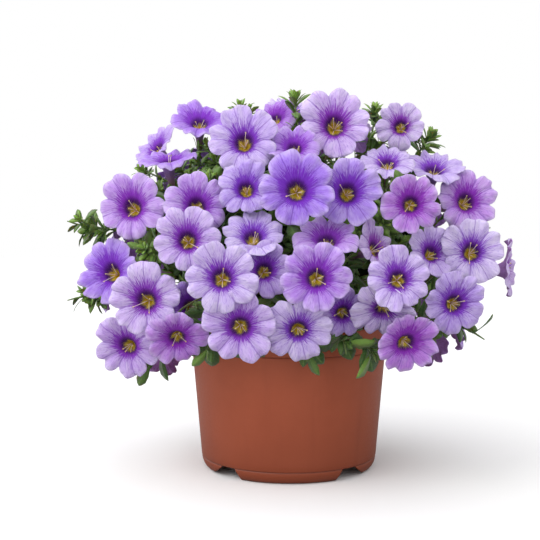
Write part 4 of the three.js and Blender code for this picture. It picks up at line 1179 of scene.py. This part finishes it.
def soil_bed():
    """The soil as one closed shell: under its floor, up inside the wall, and over the top by its height."""
    bottom = FOOT_HEIGHT + WALL + SOIL_GAP
    inside = lambda z: side_radius(z) - WALL - SOIL_GAP
    edge = inside(COLLAR_HEIGHT)
    a = np.arange(SOIL_COLUMNS) / SOIL_COLUMNS * 2 * math.pi
    profile = [(20, bottom), (inside(bottom) - 4.2, bottom), (inside(12) - 0.4, 12.0)]
    rows = [around(r, a, z) for r, z in [*profile, (edge, 74.5), (edge - 0.1, 78.4)]]
    for r in np.linspace(edge - 0.35, 1.2, SOIL_ROWS):
        wobble = r + rng.uniform(-0.4, 0.4, SOIL_COLUMNS) * (r > 2) * (r < 56)
        x, y = wobble * np.cos(a), wobble * np.sin(a)
        rows.append(np.stack([x, y, soil_height(x, y) + rng.uniform(-0.25, 0.25, SOIL_COLUMNS)], -1))
    return shell(rows, [0, 0, bottom], [0, 0, SOIL_TOP + 2], all_over("grain", 0.0))


def crumbs(count, low, high, white):
    """Small uneven lumps sunk into the soil's top: six-sided balls with corners moved at random."""
    parts = []
    for _ in range(count):
        r, turn = 55 * math.sqrt(rng.random()), rng.uniform(0, 6.3)
        x, y = r * math.cos(turn), r * math.sin(turn)
        size = rng.uniform(low, high)
        lump = shell(ball_grid(3, 6)[2], [0, 0, -1], [0, 0, 1], all_over("grain", white, white, white))
        uneven = lump["points"] * rng.uniform(0.75, 1.25, (len(lump["points"]), 1))
        lump["points"] = uneven * rng.uniform(0.6, 1.2, 3) * size + [x, y, soil_height(x, y) + size * 0.25]
        parts.append(lump)
    return parts


soil = [soil_bed(), *crumbs(420, 0.7, 1.9, white=0.0), *crumbs(110, 0.5, 1.1, white=1.0)]
soil_piece = make_piece("soil_bed", soil, [PEAT])
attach(soil_piece, "root")
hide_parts("soil")

# ---- The studio: floor and sky look white, and the plant has a softer light from the front left ----

FLOOR_REACH = 4000.0
WHITE, NEARLY_WHITE, GREY = (1.0, 1.0, 1.0, 1.0), (0.98, 0.98, 0.98, 1.0), (0.45, 0.45, 0.45, 1.0)
SOFT_LIGHT_FROM, SOFT_LIGHT_LEAST, SOFT_LIGHT_MOST = (-0.72, -0.62, 0.26), 0.52, 1.58
LAMP_PLACE, LAMP_AIM, LAMP_SIZE, LAMP_WATTS = (-0.8, -0.85, 1.05), (0, 0, 0.1), 0.7, 5.2


def seen_by_camera(g):
    """1 where the camera sees a surface itself, and 0 where it lights or is mirrored in another."""
    return g.node("LightPath", "Is Camera Ray")


paint = Surface("studio_floor", Roughness=0.9, Specular_IOR_Level=0.1)
pale_paint = paint.mix(paint.noise(paint.place(), 3.0), NEARLY_WHITE, WHITE)
paint.finish(paint.mix(seen_by_camera(paint), GREY, pale_paint))
square = np.array([(-1, -1, 0), (1, -1, 0), (1, 1, 0), (-1, 1, 0)]) * FLOOR_REACH
floor = {"points": square, "faces": [np.array([[0, 1, 2, 3]])], "values": {}}
make_piece("studio_floor", [floor], [paint.material])

scene = bpy.context.scene
scene.view_settings.view_transform = "Standard"
scene.world = bpy.data.worlds.new("studio")
scene.world.use_nodes = True
sky = Graph(scene.world.node_tree)
background = sky.tree.nodes["Background"]
background.inputs[0].default_value = WHITE
toward_light = sky.vector("DOT_PRODUCT", sky.node("TexCoord", "Generated"), SOFT_LIGHT_FROM)
soft_light = sky.step(toward_light, -1.0, 1.0, SOFT_LIGHT_LEAST, SOFT_LIGHT_MOST)
sky.plug(background.inputs[1], sky.mix(seen_by_camera(sky), soft_light, WHITE))

lamp = bpy.data.lights.new("key", "AREA")
lamp.size, lamp.energy = LAMP_SIZE, LAMP_WATTS
aim = (Vector(LAMP_AIM) - Vector(LAMP_PLACE)).to_track_quat("-Z", "Y").to_euler()
stand("key", lamp, LAMP_PLACE, aim)

# The camera stands 0.6 m in front, 148 mm up, and looks a little down and to the left of the pot's axis.
FOCAL_PIXELS, IMAGE_PIXELS, AXIS_COLUMN, HORIZON_ROW = 961.4, 540, 288.8, 227.6
lens = bpy.data.cameras.new("front")
lens.sensor_width = 36.0
lens.lens = 36.0 * FOCAL_PIXELS / IMAGE_PIXELS
lens.clip_start = 0.01
left = math.atan((AXIS_COLUMN - IMAGE_PIXELS / 2) / FOCAL_PIXELS)
down = math.atan((IMAGE_PIXELS / 2 - HORIZON_ROW) / FOCAL_PIXELS)
scene.camera = stand("front", lens, (0.0, -0.6, 0.148), (math.pi / 2 - down, 0.0, left))
